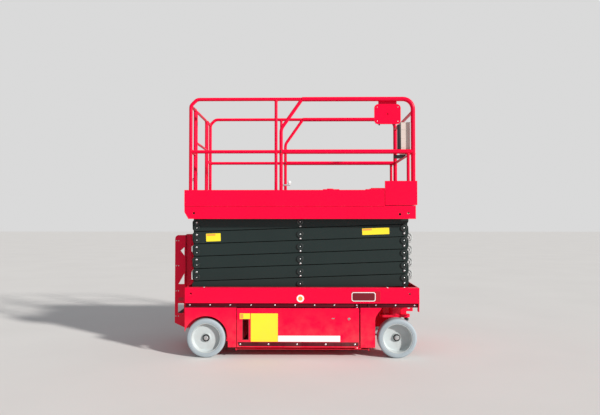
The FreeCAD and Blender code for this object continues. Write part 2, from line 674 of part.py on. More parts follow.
def spindle(name, side, x, inner, dish):
    """The shaft that a wheel turns on, up to just behind its nut."""
    outer = HALF - S.rim_inset - dish + S.hub_rise - S.rim_wall - S.running_gap
    return rod(name, "y", S.spindle_radius, (x, WHEEL_RADIUS), across(side, inner, outer))


def front_skirt(label, side):
    """The side plate between tray and front wheel, its front edge curved forwards at the top."""
    top = S.skirt_top_z + S.plate
    outline = [
        (S.bulkhead_x, S.skirt_z),
        (S.skirt_front_x, S.skirt_z),
        (S.skirt_front_x, S.skirt_curve_z),
        (S.skirt_curve_x, S.skirt_curve_z_top),
        (S.skirt_curve_x, top),
        (S.bulkhead_x, top),
    ]
    y = across(side, HALF - S.plate, HALF)
    return slab(f"front_skirt_{label}", "XZ_Plane", outline, y, (2,), S.skirt_curve_radius)


def rear_skirt(label, side):
    """The side plate behind the tray, cut by the wheel arch."""
    x = (S.chassis_rear_x, S.tray_rear_x - S.seam)
    plate = box(f"rear_skirt_{label}", x, across(side, SKIRT_INNER, HALF), (S.skirt_z, S.skirt_top_z + S.plate))
    y = across(side, SKIRT_INNER - S.plate, HALF + S.plate)
    hollow = box(
        f"rear_skirt_inside_{label}",
        (x[0] - S.plate, x[1] - S.plate),
        across(side, SKIRT_INNER - S.plate, HALF - S.plate),
        (S.skirt_z - S.plate, S.skirt_top_z),
    )
    arch = rod(f"arch_{label}", "y", S.arch_radius, (S.rear_axle_x, WHEEL_RADIUS), y)
    below = box(
        f"arch_below_{label}",
        (S.rear_axle_x - 2 * S.arch_radius, S.rear_axle_x + S.arch_radius),
        y,
        (S.skirt_z - S.plate, WHEEL_RADIUS),
    )
    return less(f"rear_skirt_cut_{label}", plate, [hollow, arch, below])


def hinge_pins(label, side):
    """Brackets above and below the tray's front end, with the pins that its hinge tubes turn on."""
    low = S.skirt_z - S.seam - S.plate
    bracket_y = across(side, HALF - S.plate - S.bracket_width, HALF - S.plate)
    sill_x = (HINGE[0] - S.bracket_reach, S.skirt_curve_x)
    sill = box(f"sill_{label}", sill_x, across(side, SKIRT_INNER, HALF - S.plate), (S.skirt_top_z, S.skirt_top_z + S.plate))
    bracket = box(f"bracket_{label}", (sill_x[0], S.bulkhead_x + S.plate), bracket_y, (low, low + S.plate))
    web_x = (S.bulkhead_x, S.bulkhead_x + S.plate)
    web = box(f"bracket_web_{label}", web_x, bracket_y, (low, S.skirt_z + S.plate))
    centre = (HINGE[0], HINGE[1] * side)
    pins = [
        rod(f"hinge_pin_low_{label}", "z", S.hinge_pin_radius, centre, (low, S.skirt_z + S.hinge_length - S.seam)),
        rod(
            f"hinge_pin_high_{label}",
            "z",
            S.hinge_pin_radius,
            centre,
            (TRAY_TOP - S.hinge_length + S.seam, S.skirt_top_z + S.plate),
        ),
    ]
    return [sill, bracket, web, *pins]


def make_side_skirts():
    """On each side the strip under the beam, the skirts, the bulkheads and what the trays and guards hang on."""
    x = (S.chassis_rear_x + S.plate, S.chassis_front_x - S.plate)
    inside = HALF - S.plate
    sides = []
    for label, side in SIDES:
        strip_y = across(side, SKIRT_INNER, SKIRT_INNER + S.plate)
        ledge_z = (S.beam_low_z, S.beam_low_z + S.plate)
        solids = [
            box(f"strip_{label}", x, strip_y, (S.skirt_top_z, HULL_TOP)),
            box(f"ledge_{label}", x, across(side, SKIRT_INNER, inside), ledge_z),
            front_skirt(label, side),
            rear_skirt(label, side),
            *hinge_pins(label, side),
        ]
        for name, wall_x in (("tray_bulkhead", S.bulkhead_x), ("wheel_bulkhead", S.bulkhead_front_x - S.plate)):
            wall = (wall_x, wall_x + S.plate)
            solids.append(box(f"{name}_{label}", wall, across(side, SPINE_HALF, inside), (S.skirt_z, HULL_TOP)))
        lug_y = across(side, GUARD_Y - S.guard_lug, GUARD_Y + S.guard_lug)
        lug_low = S.guard_z - S.guard_lug_low
        rear_x = (GUARD_SPAN[0] - S.plate, GUARD_SPAN[0])
        front_x = (GUARD_SPAN[1], GUARD_SPAN[1] + S.plate)
        solids.append(box(f"guard_lug_rear_{label}", rear_x, lug_y, (lug_low, S.skirt_z + S.plate)))
        solids.append(box(f"guard_lug_front_{label}", front_x, lug_y, (lug_low, S.skirt_z)))
        bore_x = (rear_x[0] - S.plate, front_x[1] + S.plate)
        radius = S.guard_thickness / 2 + S.running_gap
        bore = rod(f"guard_bore_{label}", "x", radius, (GUARD_Y * side, S.guard_z), bore_x)
        sides.append(less(f"side_skirt_{label}", joined(f"side_skirt_body_{label}", solids), [bore]))
    return node("side_skirts", grouped("side_skirt_pair", sides))


def make_wheel(end, label, side, x, dish):
    """A tyre and its dished wheel, both turned about the wheel's axis."""
    half = S.tyre_width / 2
    tread = half - S.tyre_lean
    tyre = revolved(
        f"tyre_{end}_{label}_body",
        [(-half, RIM_RADIUS), (half, RIM_RADIUS), (tread, WHEEL_RADIUS), (-tread, WHEEL_RADIUS)],
        WHEEL_Y * side,
        x,
        WHEEL_RADIUS,
    )
    node(f"tyre_{end}_{label}", tyre)
    face = (half - S.rim_inset) * side
    inner = (-half + S.rim_inset) * side
    web = face - dish * side
    back = web - S.rim_wall * side
    hub = web + S.hub_rise * side
    seat = hub - S.rim_wall * side
    nut = hub + S.nut_length * side
    bore = S.spindle_radius + S.running_gap
    wheel = revolved(
        f"wheel_{end}_{label}_body",
        [
            (inner, RIM_RADIUS),
            (face, RIM_RADIUS),
            (face, RIM_RADIUS - S.rim_wall),
            (web, RIM_RADIUS - 2 * S.rim_wall),
            (web, S.hub_radius),
            (hub, S.hub_radius - S.rim_wall),
            (hub, S.nut_radius),
            (nut, S.nut_radius),
            (nut, 0.0 * S.nut_radius),
            (seat, 0.0 * S.nut_radius),
            (seat, bore),
            (back, bore),
            (back, RIM_RADIUS - S.rim_wall),
            (inner, RIM_RADIUS - S.rim_wall),
        ],
        WHEEL_Y * side,
        x,
        WHEEL_RADIUS,
    )
    node(f"wheel_{end}_{label}", wheel)


def make_front_axle():
    """The fixed axle beam across the nose, with its hangers and kingpin bosses."""
    x = (S.front_axle_x - S.axle_half_length, S.front_axle_x + S.axle_half_length)
    top = S.axle_low_z + S.axle_height
    beam = box("axle_beam", x, (-KINGPIN_Y, KINGPIN_Y), (S.axle_low_z, top))
    hanger = box("axle_hanger", x, (-KINGPIN_Y, KINGPIN_Y), (top, S.deck_top_z - S.plate))
    gap = box(
        "axle_hanger_gap",
        (x[0] + S.plate, x[1] - S.plate),
        (-KINGPIN_Y - S.plate, KINGPIN_Y + S.plate),
        (top, S.deck_top_z - 2 * S.plate),
    )
    frame = less("axle_frame", joined("axle_block", [beam, hanger]), [gap])
    nose_x = (x[0] - S.plate, S.nose_front_x)
    nose = box("axle_nose_space", nose_x, (-SPINE_HALF, SPINE_HALF), (S.nose_low_z, S.deck_top_z))
    bosses = []
    bores = [nose]
    for label, side in SIDES:
        centre = (S.front_axle_x, KINGPIN_Y * side)
        bosses.append(rod(f"yoke_{label}", "z", S.yoke_radius, centre, (S.axle_low_z, top)))
        bores.append(
            rod(
                f"yoke_bore_{label}",
                "z",
                S.kingpin_radius + S.running_gap,
                centre,
                (S.axle_low_z - S.plate, S.deck_top_z),
            )
        )
    body = joined("axle_body", [frame, *bosses])
    return node("front_axle", less("axle_cut", body, bores))


def make_knuckle(label, side):
    """The part that steers: kingpin, plate with rounded ends, leg, hub motor, spindle and steering pin."""
    x = S.front_axle_x
    y = KINGPIN_Y * side
    low = KNUCKLE_TOP - S.fork_plate
    ends = (x - S.fork_half_length, x + S.fork_half_length)
    edges = (y - S.fork_half_width, y + S.fork_half_width)
    outline = [(ends[0], edges[0]), (ends[1], edges[0]), (ends[1], edges[1]), (ends[0], edges[1])]
    plate = slab(f"fork_plate_{label}", "XY_Plane", outline, (low, KNUCKLE_TOP), (0, 1, 2, 3), S.fork_round)
    pin = rod(f"kingpin_{label}", "z", S.kingpin_radius, (x, y), (low, S.axle_low_z + S.axle_height))
    motor_y = across(side, HALF - S.motor_inset, HALF - S.tyre_width - S.motor_gap)
    motor = rod(f"motor_{label}", "y", S.motor_radius, (x, WHEEL_RADIUS), motor_y)
    leg = box(
        f"leg_{label}",
        (x - S.leg_half_length, x + S.leg_half_length),
        across(side, KINGPIN_Y - S.leg_half_width, KINGPIN_Y + S.leg_half_width),
        (WHEEL_RADIUS, low),
    )
    shaft = spindle(f"front_spindle_{label}", side, x, KINGPIN_Y, S.front_dish)
    tail = S.link_z - S.link_eye_height / 2 - S.steer_pin_tail
    steer_pin = rod(f"steer_pin_{label}", "z", S.steer_pin_radius, (STEER_PIN_X, y), (tail, low))
    solids = [plate, pin, motor, leg, shaft, steer_pin]
    return node(f"knuckle_{label}", joined(f"knuckle_body_{label}", solids))


def make_steering_link():
    """The link between the steering pins of the two knuckles."""
    z = (S.link_z - S.link_eye_height / 2, S.link_z + S.link_eye_height / 2)
    parts = [rod("link_bar", "y", S.link_radius, (STEER_PIN_X, S.link_z), (-KINGPIN_Y, KINGPIN_Y))]
    bores = []
    for label, side in SIDES:
        centre = (STEER_PIN_X, KINGPIN_Y * side)
        bore_z = (z[0] - S.plate, z[1] + S.plate)
        parts.append(rod(f"link_eye_{label}", "z", S.link_eye_radius, centre, z))
        bores.append(rod(f"link_bore_{label}", "z", S.steer_pin_radius + S.running_gap, centre, bore_z))
    return node("steering_link", less("steering_link_cut", joined("steering_link_body", parts), bores))


def arm_bar(name, y, centre_z):
    """One arm tube in the arm's own frame, its left pin at the origin."""
    low = centre_z - S.arm_height / 2
    high = centre_z + S.arm_height / 2
    ends = (-S.arm_overrun, ARM_RUN + S.arm_overrun)
    points = [(ends[0], low), (ends[1], low), (ends[1], high), (ends[0], high)]
    return slab(name, "XZ_Plane", points, y, (0, 1, 2, 3), S.arm_round)


def make_outer_arm(level):
    """The pair of outer arms that rise to the front, with the pins that they carry."""
    rise = 2 * S.pin_offset
    # Pin places along and above the arm: name, along, above
    pins = [("rear", 0 * ARM_RUN, 0 * rise), ("middle", ARM_RUN / 2, rise / 2), ("front", ARM_RUN, rise)]
    parts = []
    for label, side in SIDES:
        name = f"outer_{level}_{label}"
        solids = [arm_bar(f"{name}_bar", across(side, *OUTER_ARM), S.pin_offset)]
        for place_name, along, above in pins:
            reach = (INNER_ARM[0] - S.pin_tail, OUTER_ARM[1] + S.cap_thickness)
            radius = S.pin_radius
            if level == 1 and place_name == "rear":
                reach = (OUTER_ARM[0], HALF - S.plate - S.slide_gap)
            if level == ARM_LEVELS and place_name == "front":
                solids.append(slide_pin(f"{name}_slide", side, OUTER_ARM[0], along, above))
                continue
            solids.append(rod(f"{name}_{place_name}", "y", radius, (along, above), across(side, *reach)))
            cap = (OUTER_ARM[1], OUTER_ARM[1] + S.cap_thickness)
            solids.append(rod(f"{name}_{place_name}_cap", "y", S.cap_radius, (along, above), across(side, *cap)))
        parts.append(joined(f"{name}_arm", solids))
    pair = grouped(f"outer_{level}_pair", parts)
    place(pair, S.rear_pin_x, 0, pin_z(level), -ARM_TILT)
    return node(f"arm_{level}_outer", pair)


def slide_pin(name, side, inner, along, above):
    return rod(name, "y", S.stub_radius, (along, above), across(side, inner, BLOCK_OUTER - S.slide_gap))


def make_inner_arm(level):
    """The frame of inner arms that rise to the rear, its upper rear pin at the origin."""
    drop = -2 * S.pin_offset
    centre = -S.pin_offset
    tube_y = (-INNER_ARM[0] - S.slide_gap, INNER_ARM[0] + S.slide_gap)
    left = S.barrel_pin_left if level in (1, 4) else S.tube_left
    right = ARM_RUN - (S.rod_pin_right if level in (3, 6) else S.tube_right)
    solids = []
    bores = []
    for label, side in SIDES:
        name = f"inner_{level}_{label}"
        solids.append(arm_bar(f"{name}_bar", across(side, *INNER_ARM), centre))
        bore_y = across(side, INNER_ARM[0] - S.plate, INNER_ARM[1] + S.plate)
        # Pin places along and below the arm: name, along, below
        pins = [("rear", 0 * ARM_RUN, 0 * drop), ("middle", ARM_RUN / 2, drop / 2), ("front", ARM_RUN, drop)]
        for place_name, along, below in pins:
            if level == 1 and place_name == "front":
                solids.append(slide_pin(f"{name}_slide", side, INNER_ARM[0], along, below))
            elif level == ARM_LEVELS and place_name == "rear":
                reach = across(side, INNER_ARM[0], FRAME_FACE - S.plate - S.slide_gap)
                solids.append(rod(f"{name}_fixed", "y", S.pin_radius, (along, below), reach))
            else:
                radius = S.pin_radius + S.running_gap
                bores.append(rod(f"{name}_{place_name}", "y", radius, (along, below), bore_y))
    for name, along in (("rear", left), ("front", right)):
        solids.append(rod(f"inner_{level}_{name}_tube", "y", S.tube_radius, (along, centre), tube_y))
    if level in (1, 4):
        solids += lugs(f"barrel_lug_{level}", left, centre, 1)
        pin_y = (-S.lug_gap / 2 - S.lug_thickness, S.lug_gap / 2 + S.lug_thickness)
        pin = rod(f"barrel_pin_{level}", "y", S.lug_pin_radius, (left, centre + S.lug_rise), pin_y)
        solids.append(pin)
    if level in (3, 6):
        solids += lugs(f"rod_lug_{level}", right, centre, -1)
    frame = joined(f"inner_{level}_frame", solids)
    body = less(f"inner_{level}_cut", frame, bores)
    place(body, S.rear_pin_x, 0, pin_z(level + 1), ARM_TILT)
    return node(f"arm_{level}_inner", body)


def lugs(name, along, centre, way):
    """Two lugs on a cross tube, above it for way 1 and below it for way -1."""
    parts = []
    end = centre + S.lug_rise * way
    x = (along - S.lug_radius, along + S.lug_radius)
    z = (centre, end) if way > 0 else (end, centre)
    for label, side in SIDES:
        y = across(side, S.lug_gap / 2, S.lug_gap / 2 + S.lug_thickness)
        parts.append(box(f"{name}_{label}_plate", x, y, z))
        parts.append(rod(f"{name}_{label}_end", "y", S.lug_radius, (along, end), y))
    return parts


def make_cylinder(name, level):
    """A lift cylinder from the lugs of one inner arm to those two levels up, in its own frame."""
    run = ARM_RUN - S.rod_pin_right - S.barrel_pin_left
    # Barrel pin and rod pin in the arms' frame, then turned to the machine's
    barrel_above = S.lug_rise - S.pin_offset
    rod_below = -S.lug_rise - S.pin_offset
    tilt = ARM_TILT
    dx = cosine(tilt) * run + sine(tilt) * (rod_below - barrel_above)
    dz = 2 * S.pitch - sine(tilt) * run + cosine(tilt) * (rod_below - barrel_above)
    reach = root(dx * dx + dz * dz)
    rise = slope(dz, dx)
    start_x = S.rear_pin_x + cosine(tilt) * S.barrel_pin_left + sine(tilt) * barrel_above
    start_z = pin_z(level + 1) - sine(tilt) * S.barrel_pin_left + cosine(tilt) * barrel_above
    gland = reach - S.gland_from_eye
    eye_y = S.lug_gap / 2 - S.eye_clearance
    barrel = joined(
        f"{name}_barrel_body",
        [
            rod(f"{name}_base_eye", "y", S.eye_radius, (0.0, 0.0), (-eye_y, eye_y)),
            rod(f"{name}_tube", "x", S.barrel_radius, (0.0, 0.0), (S.eye_radius, gland)),
            box(
                f"{name}_neck",
                (0 * S.eye_radius, S.eye_radius + S.plate),
                (-eye_y, eye_y),
                (-S.neck_height / 2, S.neck_height / 2),
            ),
            rod(f"{name}_gland", "x", S.gland_radius, (0.0, 0.0), (gland - S.gland_length, gland)),
        ],
    )
    tail = reach - S.rod_tail
    bores = [
        rod(f"{name}_base_bore", "y", S.lug_pin_radius + S.running_gap, (0.0, 0.0), (-2 * eye_y, 2 * eye_y)),
        rod(
            f"{name}_rod_bore",
            "x",
            S.rod_radius + S.running_gap,
            (0.0, 0.0),
            (tail - S.eye_radius, gland + S.plate),
        ),
    ]
    barrel_cut = less(f"{name}_barrel_cut", barrel, bores)
    place(barrel_cut, start_x, 0, start_z, -rise)
    node(f"{name}_barrel", barrel_cut)
    rod_y = S.lug_gap / 2 - S.rod_eye_clearance
    shaft = rod(f"{name}_shaft", "x", S.rod_radius, (0.0, 0.0), (tail, reach - S.eye_radius / 2))
    eye = rod(f"{name}_rod_eye", "y", S.eye_radius, (reach, 0.0), (-rod_y, rod_y))
    whole = joined(f"{name}_rod_body", [shaft, eye])
    place(whole, start_x, 0, start_z, -rise)
    node(f"{name}_rod", whole)


def make_slide_blocks(name, z):
    """The pair of wear blocks on the sliding end pins, bored for the pins."""
    x = S.rear_pin_x + S.pin_run
    parts = []
    for label, side in SIDES:
        block = box(
            f"{name}_{label}_block",
            (x - S.block_length / 2, x + S.block_length / 2),
            across(side, BLOCK_INNER, BLOCK_OUTER),
            (z - S.block_height / 2, z + S.block_height / 2),
        )
        bore_y = across(side, BLOCK_INNER - S.plate, BLOCK_OUTER + S.plate)
        bore = rod(f"{name}_{label}_bore", "y", S.stub_radius + S.running_gap, (x, z), bore_y)
        parts.append(less(f"{name}_{label}", block, [bore]))
    return node(name, grouped(f"{name}_pair", parts))


def make_tray(label, side):
    """A swing-out tray: outer panel with hand slot and lock holes, pan with low walls, hinge tubes."""
    x = (S.tray_rear_x, S.tray_front_x)
    panel = box(f"tray_panel_{label}", x, across(side, HALF - S.plate, HALF), (S.skirt_z, TRAY_TOP))
    inner = HALF - S.tray_depth
    pan_x = (S.tray_pan_rear_x, S.tray_front_x - S.seam)
    pan_z = (S.skirt_z, S.skirt_z + S.tray_lip)
    pan = box(f"tray_pan_{label}", pan_x, across(side, inner, HALF - S.plate), pan_z)
    hollow = box(
        f"tray_hollow_{label}",
        (pan_x[0] + S.plate, pan_x[1] - S.plate),
        across(side, inner + S.plate, HALF - S.plate),
        (S.skirt_z + S.plate, S.skirt_z + 2 * S.tray_lip),
    )
    solids = [panel, less(f"tray_open_{label}", pan, [hollow])]
    through = across(side, HALF - 2 * S.plate, HALF + S.plate)
    slot_x = (S.slot_x - S.slot_width / 2, S.slot_x + S.slot_width / 2)
    cuts = [box(f"tray_slot_{label}", slot_x, through, (S.slot_low_z, S.slot_low_z + S.slot_height))]
    for i, (along, up, radius) in enumerate(TRAY_HOLES, 1):
        cuts.append(rod(f"tray_hole_{label}_{i}", "y", radius, (along, up), through))
    centre = (HINGE[0], HINGE[1] * side)
    tubes = (("low", (S.skirt_z, S.skirt_z + S.hinge_length)), ("high", (TRAY_TOP - S.hinge_length, TRAY_TOP)))
    for name, (low, high) in tubes:
        solids.append(rod(f"tray_tube_{name}_{label}", "z", S.hinge_radius, centre, (low, high)))
        bore_z = (low - S.plate, high + S.plate)
        cuts.append(rod(f"tray_bore_{name}_{label}", "z", S.hinge_pin_radius + S.running_gap, centre, bore_z))
    return node(f"tray_{label}", less(f"tray_cut_{label}", joined(f"tray_body_{label}", solids), cuts))


def battery_bay():
    """Low and high Y distances of the batteries from the middle."""
    outer = HALF - S.plate - S.battery_gap
    return outer - S.battery_width, outer


def make_batteries():
    """Batteries in a row in the right tray, standing on its pan."""
    blocks = []
    z = (S.skirt_z + S.plate, S.skirt_z + S.plate + S.battery_height)
    for i in range(BATTERY_COUNT):
        end = S.battery_front_x - S.battery_step * i
        blocks.append(box(f"battery_{i + 1}", (end - S.battery_length, end), across(-1, *battery_bay()), z))
    return node("batteries", grouped("battery_row", blocks))


def make_hydraulic_unit():
    """Oil tank, pump motor and valve block in the left tray, standing on its pan."""
    base = S.skirt_z + S.plate
    y = battery_bay()
    tank_x = (S.battery_front_x - 2 * S.battery_length, S.battery_front_x)
    tank = box("oil_tank", tank_x, across(1, *y), (base, base + S.battery_height))
    block_x = (tank_x[0] - S.battery_width, tank_x[0])
    valve = box("valve_block", block_x, across(1, *y), (base, base + S.battery_height / 2))
    radius = S.battery_height / 4
    motor_x = (block_x[0] - S.battery_length, block_x[0])
    motor = rod("pump_motor", "x", radius, ((y[0] + y[1]) / 2, base + radius), motor_x)
    return node("hydraulic_unit", joined("hydraulic_body", [tank, valve, motor]))


def make_pothole_guard(label, side):
    """A guard bar under the tray, folded inwards, with the pin that turns in the skirt's lugs."""
    x = (GUARD_SPAN[0] + S.guard_gap, GUARD_SPAN[1] - S.guard_gap)
    half = S.guard_thickness / 2
    z = (S.guard_z - half, S.guard_z + half)
    plate = box(f"guard_plate_{label}", x, across(side, GUARD_Y - S.guard_width, GUARD_Y), z)
    pin_x = (GUARD_SPAN[0] - S.plate, GUARD_SPAN[1] + S.plate)
    pin = rod(f"guard_pin_{label}", "x", half, (GUARD_Y * side, S.guard_z), pin_x)
    return node(f"pothole_guard_{label}", joined(f"guard_body_{label}", [plate, pin]))


def make_ladder():
    """Two folded side sheets with holes, joined by rungs and seated on the chassis end."""
    half = S.ladder_width / 2
    fold = (S.ladder_fold_x, S.ladder_fold_x + S.ladder_sheet)
    # Height of the sloped lower edge at the fold
    slope_z = S.ladder_rear_z + (S.ladder_foot_z - S.ladder_rear_z) * (
        (fold[1] - S.ladder_reach_x) / (S.ladder_foot_x - S.ladder_reach_x)
    )
    sheet_outline = [
        (S.ladder_reach_x, S.ladder_rear_z),
        (fold[1], slope_z),
        (fold[1], S.ladder_top_z),
        (S.ladder_reach_x, S.ladder_top_z),
    ]
    seat = S.chassis_rear_x + S.plate
    band_outline = [
        (fold[0], slope_z),
        (S.ladder_foot_x, S.ladder_foot_z),
        (seat, S.ladder_heel_z),
        (seat, S.beam_low_z),
        (S.chassis_rear_x, S.beam_low_z),
        (S.chassis_rear_x, BEAM_TOP),
        (S.ladder_inner_x, BEAM_TOP + S.ladder_step_height),
        (S.ladder_inner_x, S.ladder_top_z),
        (fold[0], S.ladder_top_z),
    ]
    parts = []
    through = (-half - S.ladder_sheet, half + S.ladder_sheet)
    for label, side in SIDES:
        outer = (half - S.ladder_sheet, half)
        band = (outer[0] - S.ladder_fold_depth, outer[1] - S.ladder_fold_depth)
        sheet_y = across(side, *outer)
        parts.append(slab(f"ladder_side_{label}", "XZ_Plane", sheet_outline, sheet_y, (3,), S.ladder_round))
        parts.append(slab(f"ladder_band_{label}", "XZ_Plane", band_outline, across(side, *band)))
        step_y = across(side, band[0], outer[1])
        parts.append(box(f"ladder_fold_{label}", fold, step_y, (slope_z, S.ladder_top_z)))
    for i in range(RUNG_COUNT):
        z = S.rung_first_z + S.rung_step * i
        x = (S.ladder_reach_x, S.ladder_reach_x + S.rung_depth)
        parts.append(box(f"rung_{i + 1}", x, (-half + S.ladder_sheet, half - S.ladder_sheet), (z, z + S.rung_height)))
    slot_x = (S.ladder_slot_x - S.ladder_slot_length / 2, S.ladder_slot_x + S.ladder_slot_length / 2)
    cuts = [box("ladder_slot", slot_x, through, (S.ladder_slot_z, S.ladder_slot_z + S.ladder_slot_height))]
    edge = S.ladder_fold_x - S.ladder_sheet
    for i, (width, low, high, corner) in enumerate(LADDER_HOLES, 1):
        triangle = [(edge - width, corner), (edge, low), (edge, high)]
        cuts.append(slab(f"ladder_hole_{i}", "XZ_Plane", triangle, through))
    return node("ladder", less("ladder_cut", joined("ladder_body", parts), cuts))


def make_platform_deck():
    """Deck frame with slide channels, floor, ribs and toe boards."""
    x = (S.platform_rear_x, S.platform_front_x - S.plate - S.seam)
    taper = (x[0] + S.deck_taper_length, DECK_LOW + S.deck_taper_height)
    outline = [(taper[0], DECK_LOW), (x[1], DECK_LOW), (x[1], FLOOR_LOW), (x[0], FLOOR_LOW), (x[0], taper[1])]
    end_y = (-FRAME_FACE, FRAME_FACE)
    parts = [
        box("floor_plate", x, end_y, (FLOOR_LOW, S.floor_top_z)),
        box("deck_rear_end", (x[0], x[0] + S.plate), end_y, (taper[1], S.floor_top_z)),
        box("deck_front_end", (x[1] - S.plate, x[1]), end_y, (DECK_CHANNEL_HIGH, S.floor_top_z)),
    ]
    rib_y = (-FRAME_FACE + S.plate, FRAME_FACE - S.plate)
    for i in range(RIB_COUNT):
        rib_x = S.platform_rear_x + (S.platform_front_x - S.platform_rear_x) * (i + 1) / (RIB_COUNT + 1)
        parts.append(box(f"rib_{i + 1}", (rib_x, rib_x + S.rib_width), rib_y, (FLOOR_LOW - S.rib_depth, FLOOR_LOW)))
    toe_x = (S.platform_rear_x, S.head_rear_x - S.toe_gap)
    toe_z = (FLOOR_LOW, S.toe_top_z)
    cuts = [rod("deck_anchor_bore", "y", S.pin_radius + S.running_gap, (S.rear_pin_x, PIN_HIGH), rib_y)]
    for label, side in SIDES:
        channel = (DECK_CHANNEL_LOW, DECK_CHANNEL_HIGH)
        flange_x = (taper[0], x[1])
        parts += side_channel(f"deck_side_{label}", side, outline, flange_x, FRAME_FACE, channel)
        parts.append(pin_anchor(f"deck_anchor_{label}", side, FRAME_FACE, *channel))
        parts.append(box(f"toe_{label}", toe_x, across(side, HALF - S.plate, HALF), toe_z))
        rear_y = across(side, GATE_POST, HALF - S.plate)
        parts.append(box(f"toe_rear_{label}", (x[0], x[0] + S.plate), rear_y, toe_z))
        hole_y = across(side, FRAME_FACE - 2 * S.plate, FRAME_FACE + S.plate)
        for i, (along, up) in enumerate(DECK_HOLES, 1):
            cuts.append(rod(f"deck_hole_{label}_{i}", "y", S.deck_hole_radius, (along, up), hole_y))
    return node("platform_deck", less("deck_cut", joined("deck_body", parts), cuts))


def make_main_rails():
    """Main guardrail: rear posts, middle posts, top and mid rails, rear end rails, gate hinge lugs."""
    parts = []
    foot = S.floor_top_z
    x = S.post_rear_x
    for label, side in SIDES:
        y = RAIL_Y * side
        loop = [
            (x, y, foot),
            (x, y, S.rail_top_z - S.rear_cut),
            (x + S.rear_cut, y, S.rail_top_z),
            (S.rail_end_x, y, S.rail_top_z),
        ]
        parts.append(bent_tube(f"main_top_{label}", loop, S.rail_radius, S.rear_cut))
        parts.append(rod(f"main_mid_{label}", "x", S.rail_radius, (y, S.rail_mid_z), (x, S.rail_end_x)))
        parts.append(rod(f"main_post_{label}", "z", S.cross_radius, (S.post_mid_x, y), (foot, S.rail_top_z)))
        parts.append(rod(f"gate_post_{label}", "z", S.rail_radius, (x, GATE_POST * side), (foot, GATE_TOP)))
        for name, z in (("top", GATE_TOP), ("mid", S.rail_mid_z)):
            rail_y = across(side, GATE_POST, RAIL_Y)
            parts.append(rod(f"rear_{name}_{label}", "y", S.cross_radius, (x, z), rail_y))
    for i, z in enumerate(GATE_HINGES, 1):
        top = z - S.gate_eye_height / 2 - S.slide_gap
        lug_z = (top - S.gate_lug_height, top)
        lug_x = (x - S.gate_lug_radius, x + S.gate_lug_radius)
        parts.append(box(f"gate_lug_{i}", lug_x, (GATE_AXIS, GATE_POST), lug_z))
        parts.append(rod(f"gate_lug_end_{i}", "z", S.gate_lug_radius, (x, GATE_AXIS), lug_z))
        pin_z_span = (lug_z[0], z + S.gate_eye_height / 2 + S.pin_tail)
        parts.append(rod(f"gate_pin_{i}", "z", S.gate_pin_radius, (x, GATE_AXIS), pin_z_span))
    return node("main_rails", joined("main_rails_body", parts))


def make_gate():
    """The entrance gate: a bent frame with a middle rail, hinge eyes and a latch."""
    edge = S.gate_half_width - S.gate_radius
    x = S.post_rear_x
    mid_y = 0 * edge
    loop = [
        (x, mid_y, GATE_TOP),
        (x, edge, GATE_TOP),
        (x, edge, S.gate_low_z),
        (x, -edge, S.gate_low_z),
        (x, -edge, GATE_TOP),
        (x, mid_y, GATE_TOP),
    ]
    parts = [
        bent_tube("gate_frame", loop, S.gate_radius, S.gate_bend),
        rod("gate_rail", "y", S.gate_radius - S.slide_gap, (x, GATE_TOP - S.gate_mid_drop), (-edge, edge)),
        box(
            "gate_latch",
            (x - S.gate_pin_radius, x + S.gate_pin_radius),
            (S.latch_gap - S.gate_half_width - S.gate_gap, -edge),
            (S.latch_z, S.latch_z + S.latch_height),
        ),
    ]
    bores = []
    for i, z in enumerate(GATE_HINGES, 1):
        eye_z = (z - S.gate_eye_height / 2, z + S.gate_eye_height / 2)
        arm_x = (x - S.gate_pin_radius, x + S.gate_pin_radius)
        parts.append(box(f"gate_eye_arm_{i}", arm_x, (edge, GATE_AXIS), eye_z))
        parts.append(rod(f"gate_eye_{i}", "z", S.gate_eye_radius, (x, GATE_AXIS), eye_z))
        bore_z = (eye_z[0] - S.plate, eye_z[1] + S.plate)
        bores.append(rod(f"gate_eye_bore_{i}", "z", S.gate_pin_radius + S.running_gap, (x, GATE_AXIS), bore_z))
    return node("gate", less("gate_cut", joined("gate_body", parts), bores))


def make_extension_deck():
    """The roll-out deck: floor on slide pads, side toe boards and a full-width head."""
    inner = HALF - S.plate - S.toe_gap
    x = (S.extension_rear_x, S.platform_front_x)
    parts = [
        box("extension_floor", x, (-inner, inner), (EXTENSION_LOW, EXTENSION_FLOOR_TOP)),
        box(
            "extension_front",
            (S.platform_front_x - S.plate, S.platform_front_x),
            (-HALF, HALF),
            (EXTENSION_LOW, S.head_top_z),
        ),
    ]
    for label, side in SIDES:
        parts.append(
            box(
                f"extension_toe_{label}",
                (S.extension_rear_x, S.head_rear_x + S.plate),
                across(side, inner - S.plate, inner),
                (EXTENSION_LOW, S.toe_top_z),
            )
        )
        parts.append(
            box(
                f"head_side_{label}",
                (S.head_rear_x, S.platform_front_x),
                across(side, HALF - S.plate, HALF),
                (EXTENSION_LOW, S.head_top_z),
            )
        )
        parts.append(
            box(
                f"head_return_{label}",
                (S.head_rear_x, S.head_rear_x + S.plate),
                across(side, inner - S.plate, HALF),
                (EXTENSION_LOW, S.head_top_z),
            )
        )
        for name, pad_x in (("rear", S.extension_rear_x), ("front", S.head_rear_x)):
            parts.append(
                box(
                    f"pad_{name}_{label}",
                    (pad_x, pad_x + S.block_length),
                    across(side, SPINE_HALF, SPINE_HALF + S.block_width),
                    (EXTENSION_LOW - S.pad_height, EXTENSION_LOW),
                )
            )
    return node("extension_deck", joined("extension_body", parts))


